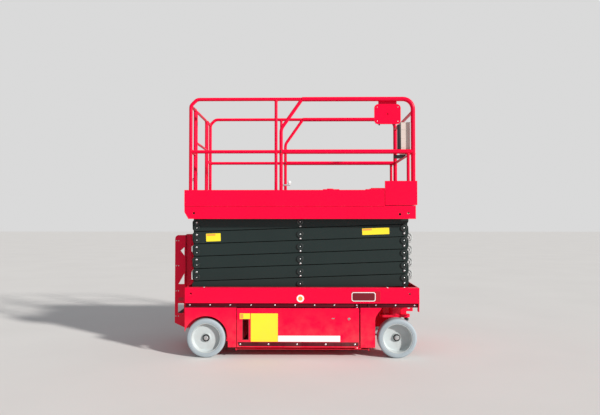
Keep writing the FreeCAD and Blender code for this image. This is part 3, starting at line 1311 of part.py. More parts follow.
def make_extension_rails():
    """Extension guardrail: its rails are sleeves that slide over the main rails."""
    solids = []
    foot = EXTENSION_FLOOR_TOP
    for label, side in SIDES:
        y = RAIL_Y * side
        loop = [
            (S.brace_top_x, y, S.rail_top_z),
            (S.front_post_x, y, S.rail_top_z),
            (S.front_post_x, y, foot),
        ]
        solids.append(bent_tube(f"sleeve_top_{label}", loop, S.sleeve_radius, S.rail_bend))
        brace = [
            (S.extension_post_x, y, foot),
            (S.extension_post_x, y, S.rail_top_z - S.brace_drop),
            (S.brace_top_x, y, S.rail_top_z),
        ]
        solids.append(bent_tube(f"brace_{label}", brace, S.rail_radius, S.rail_bend))
        mid_x = (S.extension_post_x, S.front_post_x)
        solids.append(rod(f"sleeve_mid_{label}", "x", S.sleeve_radius, (y, S.rail_mid_z), mid_x))
        short = (S.front_inner_x, y)
        solids.append(rod(f"front_inner_{label}", "z", S.cross_radius, short, (foot, S.rail_mid_z)))
    for name, z in (("top", S.rail_top_z - S.rail_bend - S.sleeve_radius), ("mid", S.rail_mid_z)):
        solids.append(rod(f"front_{name}", "y", S.cross_radius, (S.front_post_x, z), (-RAIL_Y, RAIL_Y)))
    body = joined("extension_rails_body", solids)
    bores = []
    for label, side in SIDES:
        for name, z in (("top", S.rail_top_z), ("mid", S.rail_mid_z)):
            span = (S.extension_post_x - 2 * S.rail_bend, S.rail_end_x + S.toe_gap)
            bores.append(rod(f"sleeve_bore_{name}_{label}", "x", SLEEVE_BORE, (RAIL_Y * side, z), span))
    return node("extension_rails", less("extension_rails_cut", body, bores))


def make_control_box():
    """The platform control box on its back plate, hung inside the right top rail."""
    face = RAIL_Y - S.sleeve_radius
    x = (S.box_rear_x, S.box_rear_x + S.box_length)
    top = S.rail_top_z - S.box_drop
    z = (top - S.box_height, top)
    plate_y = (-face, -face + S.plate)
    outline = [(x[0], z[0]), (x[1], z[0]), (x[1], z[1]), (x[0], z[1])]
    plate = slab("box_plate", "XZ_Plane", outline, plate_y, (0, 1, 2, 3), S.box_round)
    centre = ((x[0] + x[1]) / 2, (z[0] + z[1]) / 2)
    hole = rod("box_hole", "y", S.box_hole_radius, centre, plate_y)
    housing = box(
        "box_housing",
        (x[0] + S.box_margin, x[1] - S.box_margin),
        (plate_y[1], -face + S.box_depth),
        (z[0] + S.box_margin, z[1] - S.box_margin),
    )
    hook = box("box_hook", (x[0] + S.hook_margin, x[1] - S.hook_margin), plate_y, (top, S.rail_top_z))
    solids = [less("box_plate_cut", plate, [hole]), housing, hook]
    return node("control_box", joined("control_box_body", solids))


def make_document_box():
    """The open-topped box for papers inside the right mid rail, in front of the control box."""
    face = RAIL_Y - S.sleeve_radius
    wall = S.papers_wall
    x = (S.papers_rear_x, S.papers_rear_x + S.papers_length)
    y = (-face, -face + S.papers_depth)
    low = S.rail_mid_z - S.papers_drop
    high = low + S.papers_height
    outer = box("papers_outer", x, y, (low, high))
    inner = box("papers_inner", (x[0] + wall, x[1] - wall), (y[0] + wall, y[1] - wall), (low + wall, high + wall))
    return node("document_box", less("papers_box", outer, [inner]))


def make_lock_handle():
    """The lever that locks the extension deck: a bar from the post with a raised knob."""
    y = -RAIL_Y
    start = S.extension_post_x + S.rail_radius + S.running_gap
    knob_z = S.handle_z + S.handle_rise
    bar = rod("handle_bar", "x", S.handle_radius, (y, S.handle_z), (start, S.handle_x + S.handle_radius))
    neck = rod("handle_neck", "z", S.handle_radius - S.slide_gap, (S.handle_x, y), (S.handle_z, knob_z))
    knob = revolved(
        "handle_knob",
        [
            (-S.knob_half, 0 * S.knob_face),
            (-S.knob_half, S.knob_face),
            (-S.knob_face, S.knob_radius),
            (S.knob_face, S.knob_radius),
            (S.knob_half, S.knob_face),
            (S.knob_half, 0 * S.knob_face),
        ],
        y,
        S.handle_x,
        knob_z,
    )
    return node("lock_handle", joined("lock_handle_body", [bar, neck, knob]))


def check_and_export():
    doc.recompute()
    for item in doc.Objects:
        faults = {"Invalid", "Error"} & set(item.State)
        if faults:
            raise RuntimeError(f"{item.Label} failed: {faults} {item.getStatusString()}")
    os.makedirs("parts", exist_ok=True)
    for item in nodes:
        if item.Shape.isNull() or not item.Shape.isValid():
            raise RuntimeError(f"{item.Label} has no valid shape")
        item.Shape.exportStep(f"parts/{item.Label}.step")
        print(item.Label, len(item.Shape.Solids), round(item.Shape.Volume / 1e6, 3), "litres")


make_base_frame()
make_side_beams()
make_rear_hull()
make_spine()
make_side_skirts()
make_ladder()
make_front_axle()
for side_label, side_sign in SIDES:
    make_knuckle(side_label, side_sign)
    make_wheel("rear", side_label, side_sign, S.rear_axle_x, S.rear_dish)
    make_wheel("front", side_label, side_sign, S.front_axle_x, S.front_dish)
    make_tray(side_label, side_sign)
    make_pothole_guard(side_label, side_sign)
make_steering_link()
make_batteries()
make_hydraulic_unit()
for arm_level in range(1, ARM_LEVELS + 1):
    make_outer_arm(arm_level)
    make_inner_arm(arm_level)
make_cylinder("lower_cylinder", 1)
make_cylinder("upper_cylinder", 4)
make_slide_blocks("slide_blocks_lower", S.pin_low_z)
make_slide_blocks("slide_blocks_upper", PIN_HIGH)
make_platform_deck()
make_main_rails()
make_gate()
make_extension_deck()
make_extension_rails()
make_control_box()
make_document_box()
make_lock_handle()
check_and_export()
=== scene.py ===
import json
import math

import bmesh
import bpy
from bpy.props import FloatProperty, FloatVectorProperty, IntProperty, PointerProperty
from mathutils import Matrix, Vector


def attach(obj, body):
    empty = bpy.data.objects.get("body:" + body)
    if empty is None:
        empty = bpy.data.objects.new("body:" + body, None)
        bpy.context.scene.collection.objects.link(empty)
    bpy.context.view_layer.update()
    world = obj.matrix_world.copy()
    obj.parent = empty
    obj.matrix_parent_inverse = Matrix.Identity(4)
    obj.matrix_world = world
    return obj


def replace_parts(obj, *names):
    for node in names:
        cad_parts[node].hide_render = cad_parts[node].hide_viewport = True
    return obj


bl_info = {
    "name": "Slab scissor lift",
    "version": (1, 0, 0),
    "blender": (4, 5, 0),
    "location": "View3D > Sidebar > Scissor lift",
    "description": "Dresses the packed frame of an electric scissor lift and sets up its stage",
    "category": "Object",
}

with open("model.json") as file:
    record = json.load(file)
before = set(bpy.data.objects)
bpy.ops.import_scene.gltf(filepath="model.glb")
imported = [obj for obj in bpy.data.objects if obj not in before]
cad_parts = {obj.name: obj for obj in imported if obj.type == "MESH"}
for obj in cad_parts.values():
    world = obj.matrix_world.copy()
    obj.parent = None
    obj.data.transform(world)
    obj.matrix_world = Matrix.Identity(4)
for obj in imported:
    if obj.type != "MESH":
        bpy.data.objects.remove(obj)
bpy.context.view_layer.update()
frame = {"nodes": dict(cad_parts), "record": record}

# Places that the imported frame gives, in metres. +X is the front, +Y the left side.
SIDES = (("right", -1), ("left", 1))
UP = (0, 0, 1)
ALONG = (1, 0, 0)
BEAM_FACE = 0.5838
TRAY_FACE = 0.5818
STRIP_FACE = 0.565
STRIP_TOP = 0.5312
WHEEL_Y = 0.5215
WHEEL_Z = 0.1905
RIM_EDGE = 0.0575
# End of the machine, axle place, depth of the wheel disc behind the rim's edge
AXLES = (("rear", -0.845, 0.036), ("front", 1.025, 0.068))
KINGPIN = (1.025, 0.405)
LINK_X = 1.144
LINK_Z = 0.350
REAR_PIN = (-0.958, 0.648)
PIN_RUN = 2.068
PITCH = 0.1236
PIN_OFFSET = 0.0245
ARM_RUN = math.sqrt(PIN_RUN**2 + PITCH**2 - 4 * PIN_OFFSET**2)
ARM_TILT = math.atan2(PITCH, PIN_RUN) - math.atan2(2 * PIN_OFFSET, ARM_RUN)
ARM_FACE = 0.465
FIRST_RUNG = 0.356
RUNG_PITCH = 0.262
BATTERY_PITCH = 0.262
BATTERY_LENGTH = 0.250
TRAY_MIDDLE = 0.464
RAIL_Y = 0.547
MID_RAIL = 2.020
TOP_RAIL = 2.541
GATE_X = -1.008
MIDDLE_POST_X = -0.162
SLEEVE_X = -0.112
BRACE_POST_X = 1.141
FRONT_POST_X = 1.190
# Share of a film's thickness that each layer below lifts it by
FILM_LIFT = 0.8

# CAD slots of the finishes that aren't named after their slot
dict.fromkeys(("black_rubber", "red_knob", "yellow_ring", "dark_screen"), "battery_plastic")
FILMS = ("film_yellow", "film_white", "film_amber", "film_dark", "film_deep_red")
dict.fromkeys(("hose_wrap", "frosted_plastic", "white_knob", *FILMS), "pale_plastic")


class PaintColours(bpy.types.PropertyGroup):
    body_red: FloatVectorProperty(
        name="Body red",
        description="Powder coat of chassis, deck and rails",
        subtype="COLOR",
        default=(0.86, 0.0, 0.040),
    )
    arm_grey: FloatVectorProperty(
        name="Arm grey", description="Satin paint of the arms", subtype="COLOR", default=(0.014, 0.024, 0.023)
    )
    tyre_grey: FloatVectorProperty(
        name="Tyre grey", description="Non-marking tyre rubber", subtype="COLOR", default=(0.35, 0.41, 0.45)
    )
    disc_grey: FloatVectorProperty(
        name="Disc grey", description="Paint of the wheel discs", subtype="COLOR", default=(0.50, 0.55, 0.56)
    )
    sign_yellow: FloatVectorProperty(
        name="Sign yellow",
        description="Film of the blank yellow signs",
        subtype="COLOR",
        default=(0.88, 0.74, 0.03),
    )
    dust: FloatVectorProperty(
        name="Dust", description="Dust that settles low down", subtype="COLOR", default=(0.34, 0.29, 0.24)
    )


class TrimSizes(bpy.types.PropertyGroup):
    bolt_radius: FloatProperty(
        name="Strip bolt", description="Radius of the bolts in the side strips", default=0.0078, unit="LENGTH"
    )
    bolt_height: FloatProperty(
        name="Bolt head", description="Height of a button head", default=0.005, unit="LENGTH"
    )
    sign_film: FloatProperty(
        name="Sign film", description="Thickness of the signs' film", default=0.0004, unit="LENGTH"
    )
    tyre_steps: IntProperty(name="Tyre steps", description="Steps round a tyre", default=96)
    hose_radius: FloatProperty(
        name="Hose", description="Radius of the hoses at the arms' ends", default=0.0105, unit="LENGTH"
    )


class StageSettings(bpy.types.PropertyGroup):
    camera_x: FloatProperty(
        name="Camera along", description="Camera along the machine", default=0.144, unit="LENGTH"
    )
    camera_y: FloatProperty(
        name="Camera out", description="Camera beside the machine", default=-5.93, unit="LENGTH"
    )
    camera_z: FloatProperty(
        name="Camera height", description="Height of the lens", default=1.34, unit="LENGTH"
    )
    pitch: FloatProperty(name="Pitch", description="Camera tilt above level, in degrees", default=1.364)
    turn: FloatProperty(name="Turn", description="Camera turn to the rear, in degrees", default=0.735)
    lens: FloatProperty(name="Lens", description="Focal length in millimetres", default=32.76)
    sky: FloatProperty(name="Sky", description="Strength of the light from all round", default=0.40)
    sun: FloatProperty(name="Sun", description="Strength of the sun", default=4.6)


# Shader nodes


def add_node(tree, kind, inputs=None, **properties):
    """Adds a shader node; an input is a value, a colour of three numbers, or an output to link from."""
    made = tree.nodes.new(kind)
    for name, value in properties.items():
        setattr(made, name, value)
    for name, value in (inputs or {}).items():
        socket = made.inputs[name]
        if isinstance(value, bpy.types.NodeSocket):
            tree.links.new(value, socket)
        else:
            socket.default_value = (*value, 1) if socket.type == "RGBA" else value
    return made


def link(tree, inputs, **outputs):
    """Links outputs to the inputs of the same name, with a space for each underscore."""
    for name, output in outputs.items():
        tree.links.new(output, inputs[name.replace("_", " ")])


def maths(tree, operation, first, second=0.5):
    return add_node(tree, "ShaderNodeMath", {0: first, 1: second}, operation=operation).outputs[0]


def times(tree, first, second):
    return maths(tree, "MULTIPLY", first, second)


def total(tree, first, *others):
    for other in others:
        first = maths(tree, "ADD", first, other)
    return first


def swing(tree, value, reach):
    """Turns a value about one half into one about nought."""
    return times(tree, maths(tree, "SUBTRACT", value, 0.5), reach)


def ramp(tree, value, low, high, start=0, end=1.0):
    """Maps a value between low and high to start and end, and clamps it there."""
    inputs = {"Value": value, "From Min": low, "From Max": high, "To Min": start, "To Max": end}
    return add_node(tree, "ShaderNodeMapRange", inputs).outputs["Result"]


def mixed(tree, factor, first, second):
    """Two colours mixed by a factor."""
    return add_node(tree, "ShaderNodeMix", {0: factor, 6: first, 7: second}, data_type="RGBA").outputs[2]


def object_places(tree, stretch=None):
    """Places on the object, in metres, with a stretch for grain that runs one way."""
    places = add_node(tree, "ShaderNodeTexCoord").outputs["Object"]
    if stretch is None:
        return places
    return add_node(tree, "ShaderNodeMapping", {"Vector": places, "Scale": stretch}).outputs["Vector"]


def facing(tree):
    return add_node(tree, "ShaderNodeNewGeometry").outputs["Normal"]


def axes(tree, vector):
    return add_node(tree, "ShaderNodeSeparateXYZ", {"Vector": vector}).outputs


def noise(tree, places, scale, detail=3.0, roughness=0.5):
    inputs = {"Vector": places, "Scale": scale, "Detail": detail, "Roughness": roughness}
    return add_node(tree, "ShaderNodeTexNoise", inputs).outputs["Fac"]


def bump(tree, height, strength, depth, normal):
    """Bumps a normal; without one it bumps the surface itself."""
    inputs = {"Height": height, "Strength": strength, "Distance": depth}
    if normal is not None:
        inputs["Normal"] = normal
    return add_node(tree, "ShaderNodeBump", inputs).outputs["Normal"]


def new_group(name, inputs, outputs=("Color", "Roughness", "Height")):
    """A node group; an input's kind follows from its starting value, and an output's from its name."""
    group = bpy.data.node_groups.new(name, "ShaderNodeTree")
    for label, value in inputs.items():
        coloured = isinstance(value, tuple)
        kind = "NodeSocketColor" if coloured else "NodeSocketFloat"
        socket = group.interface.new_socket(label, in_out="INPUT", socket_type=kind)
        socket.default_value = (*value, 1) if coloured else value
    for label in outputs:
        kind = {"Color": "NodeSocketColor", "Normal": "NodeSocketVector"}.get(label, "NodeSocketFloat")
        group.interface.new_socket(label, in_out="OUTPUT", socket_type=kind)
    return group, group.nodes.new("NodeGroupInput").outputs, group.nodes.new("NodeGroupOutput").inputs


def edge_wear_group():
    """Finds worn edges, and rounds the look of sharp ones."""
    inputs = {"Width": 0.003, "Breakup": 30.0, "Amount": 0.5}
    group, given, result = new_group("edge_wear", inputs, ("Mask", "Normal"))
    rounded = add_node(group, "ShaderNodeBevel", {"Radius": given["Width"]}, samples=4).outputs["Normal"]
    both = {0: rounded, 1: facing(group)}
    likeness = add_node(group, "ShaderNodeVectorMath", both, operation="DOT_PRODUCT").outputs["Value"]
    patches = ramp(group, noise(group, object_places(group), given["Breakup"], 6.0, 0.6), 0.46, 0.60)
    mask = times(group, times(group, ramp(group, likeness, 0.985, 0.86), patches), given["Amount"])
    link(group, result, Mask=mask, Normal=rounded)


def paint_film_group():
    """Powder coat: cloudy shade, orange peel, dust low down and on ledges, worn spots."""
    inputs = {
        "Color": (0.5, 0.5, 0.5),
        "Shade": 0.12,
        "Roughness": 0.35,
        "Peel Scale": 420.0,
        "Dust Color": (0.4, 0.35, 0.3),
        "Dust": 0.4,
        "Wear": 0,
        "Wear Color": (0.3, 0.3, 0.3),
    }
    group, given, result = new_group("paint_film", inputs)
    places = object_places(group)
    cloud = noise(group, places, 2.4, 4.0, 0.55)
    fine = noise(group, places, 26.0, 5.0, 0.6)
    value = total(group, times(group, swing(group, cloud, given["Shade"]), 2.0), 1.0)
    inputs = {"Value": value, "Color": given["Color"]}
    shaded = add_node(group, "ShaderNodeHueSaturation", inputs).outputs["Color"]
    low_down = ramp(group, axes(group, places)["Z"], 0.5, 0.02)
    ledge = ramp(group, axes(group, facing(group))["Z"], 0.7, 1.0, 0, 0.55)
    blown = ramp(group, noise(group, places, 8.0, 8.0, 0.68), 0.38, 0.72)
    dust = times(group, times(group, maths(group, "MAXIMUM", low_down, ledge), blown), given["Dust"])
    dusty = mixed(group, dust, shaded, given["Dust Color"])
    colour = mixed(group, given["Wear"], dusty, given["Wear Color"])
    rough = total(group, given["Roughness"], swing(group, fine, 0.16))
    rough = total(group, rough, times(group, dust, 0.6), times(group, given["Wear"], 0.2))
    peel = noise(group, places, given["Peel Scale"], 1.5, 0.4)
    relief = maths(group, "SUBTRACT", peel, times(group, given["Wear"], 0.8))
    link(group, result, Color=colour, Roughness=rough, Height=relief)


def rubber_skin_group():
    """Moulded rubber: fine grain, scuffs along the running direction and darker clouds."""
    inputs = {"Color": (0.4, 0.4, 0.4), "Scuff Color": (0.2, 0.2, 0.2), "Scuffs": 0.5, "Roughness": 0.7}
    group, given, result = new_group("rubber_skin", inputs)
    places = object_places(group)
    cloud = ramp(group, noise(group, places, 6.0, 5.0, 0.6), 0.35, 0.75)
    scuffed = ramp(group, noise(group, object_places(group, (9, 60, 9)), 1.5, 6.0, 0.7), 0.56, 0.74)
    mask = times(group, maths(group, "MAXIMUM", scuffed, times(group, cloud, 0.35)), given["Scuffs"])
    colour = mixed(group, mask, given["Color"], given["Scuff Color"])
    grain = noise(group, places, 260.0, 4.0, 0.6)
    rough = total(group, given["Roughness"], swing(group, grain, 0.2))
    relief = maths(group, "SUBTRACT", grain, times(group, scuffed, 0.5))
    link(group, result, Color=colour, Roughness=rough, Height=relief)


def metal_grain_group():
    """Plated or ground metal: fine lines one way, blotches and dull spots."""
    inputs = {"Color": (0.7, 0.7, 0.7), "Dull Color": (0.35, 0.34, 0.32), "Dull": 0.4}
    group, given, result = new_group("metal_grain", {**inputs, "Roughness": 0.28, "Lines": 60.0})
    blotch = ramp(group, noise(group, object_places(group), 45.0, 5.0, 0.6), 0.42, 0.70)
    mask = times(group, blotch, given["Dull"])
    colour = mixed(group, mask, given["Color"], given["Dull Color"])
    lines = noise(group, object_places(group, (2, 24, 24)), given["Lines"], 3.0, 0.6)
    rough = total(group, given["Roughness"], swing(group, lines, 0.22), times(group, mask, 0.35))
    link(group, result, Color=colour, Roughness=rough, Height=lines)


def mould_grain_group():
    """Moulded plastic: small pebbles and rubbed patches."""
    inputs = {"Color": (0.1, 0.1, 0.1), "Rubbed Color": (0.2, 0.2, 0.2), "Rubbed": 0.3}
    group, given, result = new_group("mould_grain", {**inputs, "Roughness": 0.5, "Pebbles": 900.0})
    places = object_places(group)
    rubbed = times(group, ramp(group, noise(group, places, 11.0, 6.0, 0.62), 0.44, 0.72), given["Rubbed"])
    colour = mixed(group, rubbed, given["Color"], given["Rubbed Color"])
    inputs = {"Vector": places, "Scale": given["Pebbles"]}
    pebbles = add_node(group, "ShaderNodeTexVoronoi", inputs, feature="SMOOTH_F1").outputs["Distance"]
    rough = total(group, given["Roughness"], swing(group, noise(group, places, 30.0), 0.2))
    link(group, result, Color=colour, Roughness=rough, Height=maths(group, "SUBTRACT", 1.0, pebbles))


def tread_plate_group():
    """Raised lozenges of a floor plate, turned by quarter from cell to cell."""
    group, given, result = new_group("tread_plate", {"Cell": 0.022}, ("Raised",))
    places = axes(group, object_places(group))
    turned = []
    for operation in ("ADD", "SUBTRACT"):
        slanted = maths(group, operation, places["X"], places["Y"])
        turned.append(maths(group, "DIVIDE", slanted, given["Cell"]))
    cells = [maths(group, "FLOOR", value) for value in turned]
    inside = [maths(group, "SUBTRACT", maths(group, "FRACT", value), 0.5) for value in turned]
    odd = maths(group, "PINGPONG", total(group, *cells), 1.0)
    shapes = []
    for pair in (inside, reversed(inside)):
        squares = []
        for value, half in zip(pair, (0.46, 0.14)):
            share = maths(group, "ABSOLUTE", maths(group, "DIVIDE", value, half))
            squares.append(maths(group, "POWER", share, 2.0))
        shapes.append(ramp(group, total(group, *squares), 1.0, 0.55))
    chosen = add_node(group, "ShaderNodeMix", {0: odd, 2: shapes[0], 3: shapes[1]}).outputs[0]
    link(group, result, Raised=chosen)


def finish_base(name, metallic, specular):
    material = bpy.data.materials.new(f"{name}_finish")
    material.use_nodes = True
    shader = material.node_tree.nodes["Principled BSDF"]
    shader.inputs["Metallic"].default_value = metallic
    shader.inputs["Specular IOR Level"].default_value = specular
    return material.node_tree, shader


def effect(tree, name, inputs):
    return add_node(tree, "ShaderNodeGroup", inputs, node_tree=bpy.data.node_groups[name])


def wire_up(tree, shader, source, strength, depth, normal=None):
    """Feeds a group's colour, roughness and height to the shader."""
    colour, rough, height = (source.outputs[name] for name in ("Color", "Roughness", "Height"))
    relief = bump(tree, height, strength, depth, normal)
    link(tree, shader.inputs, Base_Color=colour, Roughness=rough, Normal=relief)


def add_relief(tree, shader, height, strength, depth):
    """A second bump on top of the shader's first."""
    first = shader.inputs["Normal"].links[0].from_socket
    link(tree, shader.inputs, Normal=bump(tree, height, strength, depth, first))


def painted(name, colour, rough=0.3, dust=0.26, wear=0.5, worn=(0.3, 0.29, 0.28), specular=0.16, edge=0.0022):
    """A paint with worn edges, and with dust on it."""
    tree, shader = finish_base(name, 0, specular)
    edges = effect(tree, "edge_wear", {"Width": edge, "Breakup": 26.0, "Amount": wear}).outputs
    inputs = {
        "Color": colour,
        "Roughness": rough,
        "Dust Color": bpy.context.scene.lift_paint.dust,
        "Dust": dust,
        "Wear": edges["Mask"],
        "Wear Color": worn,
    }
    film = effect(tree, "paint_film", inputs)
    wire_up(tree, shader, film, 0.12, 0.0006, edges["Normal"])
    return tree, shader, film


def banded_paint(name, colour, band_colour, low, high, out):
    """Body paint with another colour between two heights, where a face lies further out than a limit."""
    tree, _, film = painted(name, colour)
    place = axes(tree, object_places(tree))
    above = maths(tree, "GREATER_THAN", place["Z"], low)
    below = maths(tree, "LESS_THAN", place["Z"], high)
    outside = maths(tree, "GREATER_THAN", maths(tree, "ABSOLUTE", place["Y"]), out)
    band = times(tree, times(tree, above, below), outside)
    link(tree, film.inputs, Color=mixed(tree, band, colour, band_colour))


def deck_paint(colour):
    """Body paint whose floor faces are a bare, trodden tread plate."""
    tree, shader, film = painted("deck_paint", colour, dust=0.22)
    height = axes(tree, object_places(tree))["Z"]
    level = maths(tree, "GREATER_THAN", axes(tree, facing(tree))["Z"], 0.9)
    above = maths(tree, "GREATER_THAN", height, 1.4845)
    below = maths(tree, "LESS_THAN", height, 1.4985)
    floor = times(tree, times(tree, level, above), below)
    raised = effect(tree, "tread_plate", {"Cell": 0.024}).outputs["Raised"]
    steel = {"Color": (0.20, 0.21, 0.22), "Dull Color": (0.10, 0.10, 0.10), "Dull": 0.8}
    trodden = effect(tree, "metal_grain", steel).outputs["Color"]
    bright = mixed(tree, times(tree, raised, 0.6), trodden, (0.42, 0.43, 0.43))
    link(tree, shader.inputs, Base_Color=mixed(tree, floor, film.outputs["Color"], bright))
    add_relief(tree, shader, times(tree, raised, floor), 0.8, 0.0015)


def wrapped_hose():
    """Pale spiral wrap: ridges that climb the hose, darker between them."""
    tree, shader = finish_base("hose_wrap", 0, 0.4)
    pale = {"Color": (0.60, 0.62, 0.62), "Rubbed Color": (0.30, 0.31, 0.31), "Rubbed": 0.5}
    grain = effect(tree, "mould_grain", pale)
    inputs = {"Vector": object_places(tree), "Rotation": (0.35, 0, 0)}
    slanted = add_node(tree, "ShaderNodeMapping", inputs).outputs["Vector"]
    inputs = {"Vector": slanted, "Scale": 32.0, "Distortion": 0.4}
    ridges = add_node(tree, "ShaderNodeTexWave", inputs, bands_direction="Z").outputs["Fac"]
    wire_up(tree, shader, grain, 0.3, 0.0004)
    between = ramp(tree, ridges, 0.45, 0.05, 0, 0.8)
    link(tree, shader.inputs, Base_Color=mixed(tree, between, grain.outputs["Color"], (0.06, 0.065, 0.065)))
    add_relief(tree, shader, ridges, 0.7, 0.003)


# Shapes


def soft_bevel(shape, edges, width, steps):
    bmesh.ops.bevel(
        shape,
        geom=list(edges),
        offset=width,
        offset_type="OFFSET",
        segments=steps,
        profile=0.5,
        affect="EDGES",
        material=-1,
        clamp_overlap=True,
    )


def add_block(shape, first, second, soft=0, steps=2):
    """A block between two opposite corners, its edges softened. Gives the edges of a sharp one."""
    first, second = Vector(first), Vector(second)
    size = [abs(a) for a in second - first]
    place = Matrix.Translation((first + second) / 2) @ Matrix.Diagonal((*size, 1))
    verts = bmesh.ops.create_cube(shape, size=1, matrix=place)["verts"]
    edges = {edge for vert in verts for edge in vert.link_edges}
    if soft:
        soft_bevel(shape, edges, soft, steps)
    return edges


def add_bar(shape, start, end, radius, soft=0, sides=24, tip=None, steps=2):
    """A round, six-sided or tapered bar between two points, its rims softened."""
    start, end = Vector(start), Vector(end)
    way = end - start
    place = Matrix.Translation((start + end) / 2) @ way.to_track_quat("Z", "Y").to_matrix().to_4x4()
    tip = radius if tip is None else tip
    form = {"cap_ends": True, "segments": sides, "radius1": radius, "radius2": tip, "depth": way.length}
    made = bmesh.ops.create_cone(shape, matrix=place, **form)
    if soft:
        caps = {face for vert in made["verts"] for face in vert.link_faces if len(face.verts) == sides}
        soft_bevel(shape, {edge for face in caps for edge in face.edges}, soft, steps)


def add_turned(shape, origin, way, profile, steps=48, ring=False):
    """A turned form; each profile point is a distance along the way and a radius."""
    origin, way = Vector(origin), Vector(way).normalized()
    out = way.orthogonal().normalized()
    verts = [shape.verts.new(origin + way * along + out * radius) for along, radius in profile]
    edges = [shape.edges.new(pair) for pair in zip(verts, verts[1:])]
    if ring:
        edges.append(shape.edges.new((verts[-1], verts[0])))
    bmesh.ops.spin(
        shape,
        geom=verts + edges,
        cent=origin,
        axis=way,
        angle=2 * math.pi,
        steps=steps,
        use_merge=True,
        use_normal_flip=False,
        use_duplicate=False,
    )


def add_button(shape, place, way, radius, height):
    """A button-head screw with its socket."""
    shares = [(0, 0), (0, 1), (0.35, 1), (0.80, 0.80), (1, 0.52), (0.55, 0.46), (0.50, 0)]
    add_turned(shape, place, way, [(height * along, radius * out) for along, out in shares], 14)


def add_hex(shape, place, way, radius, height):
    """A hexagon head on its washer."""
    place, way = Vector(place), Vector(way).normalized()
    rest = radius * 0.22
    add_bar(shape, place, place + way * rest, radius * 1.45, rest * 0.3, sides=20, steps=1)
    add_bar(shape, place + way * rest, place + way * (rest + height), radius, radius * 0.12, sides=6)


def add_collar(shape, origin, way, inner, outer, low, high):
    """A ring with rounded rims, such as a weld bead or a bush."""
    soft = min((outer - inner) / 2, (high - low) / 2)
    rim = [(low, outer - soft), (low + soft * 0.3, outer - soft * 0.3), (low + soft, outer)]
    rim += [(high - soft, outer), (high - soft * 0.3, outer - soft * 0.3), (high, outer - soft)]
    add_turned(shape, origin, way, [(low, inner), *rim, (high, inner)], 28, ring=True)


def add_film(shape, span, face, thickness, corner):
    """A sign's film on the right side, with rounded corners. Span: rear, front, low and high edge."""
    rear, front, low, high = span
    edges = add_block(shape, (rear, -face, low), (front, -face - thickness, high))
    corners = [edge for edge in edges if abs(edge.verts[0].co.y - edge.verts[1].co.y) > thickness / 2]
    soft_bevel(shape, corners, corner, 4)


def add_pipe(shape, points, radius):
    """A bent pipe along a smooth line through the neighbourhood of its points."""
    curve = bpy.data.curves.new("pipe_line", "CURVE")
    curve.dimensions = "3D"
    curve.bevel_depth = radius
    curve.bevel_resolution = 3
    curve.use_fill_caps = True
    curve.resolution_u = 8
    line = curve.splines.new("NURBS")
    line.points.add(len(points) - 1)
    for point, place in zip(line.points, points):
        point.co = (*place, 1)
    line.order_u = 3
    line.use_endpoint_u = True
    holder = bpy.data.objects.new("pipe_line", curve)
    mesh = bpy.data.meshes.new_from_object(holder)
    shape.from_mesh(mesh)
    bpy.data.objects.remove(holder)
    bpy.data.curves.remove(curve)
    bpy.data.meshes.remove(mesh)


def moved(shape, matrix):
    bmesh.ops.transform(shape, matrix=matrix, verts=shape.verts)


def finished(name, shape, body, finish, crease=35.0):
    """Makes a piece of a shape, with its finish, and lets it ride on a body."""
    bmesh.ops.remove_doubles(shape, verts=shape.verts, dist=2e-6)
    bmesh.ops.recalc_face_normals(shape, faces=shape.faces)
    mesh = bpy.data.meshes.new(name)
    shape.to_mesh(mesh)
    shape.free()
    mesh.shade_smooth()
    mesh.set_sharp_from_angle(angle=math.radians(crease))
    mesh.materials.append(bpy.data.materials[f"{finish}_finish"])
    piece = bpy.data.objects.new(name, mesh)
    bpy.context.scene.collection.objects.link(piece)
    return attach(piece, body)


def arm_place(level):
    """Turns the outer arm's own frame, its rear pin at the origin, into the machine's."""
    place = Matrix.Translation((REAR_PIN[0], 0, REAR_PIN[1] + PITCH * (level - 1)))
    return place @ Matrix.Rotation(-ARM_TILT, 4, "Y")


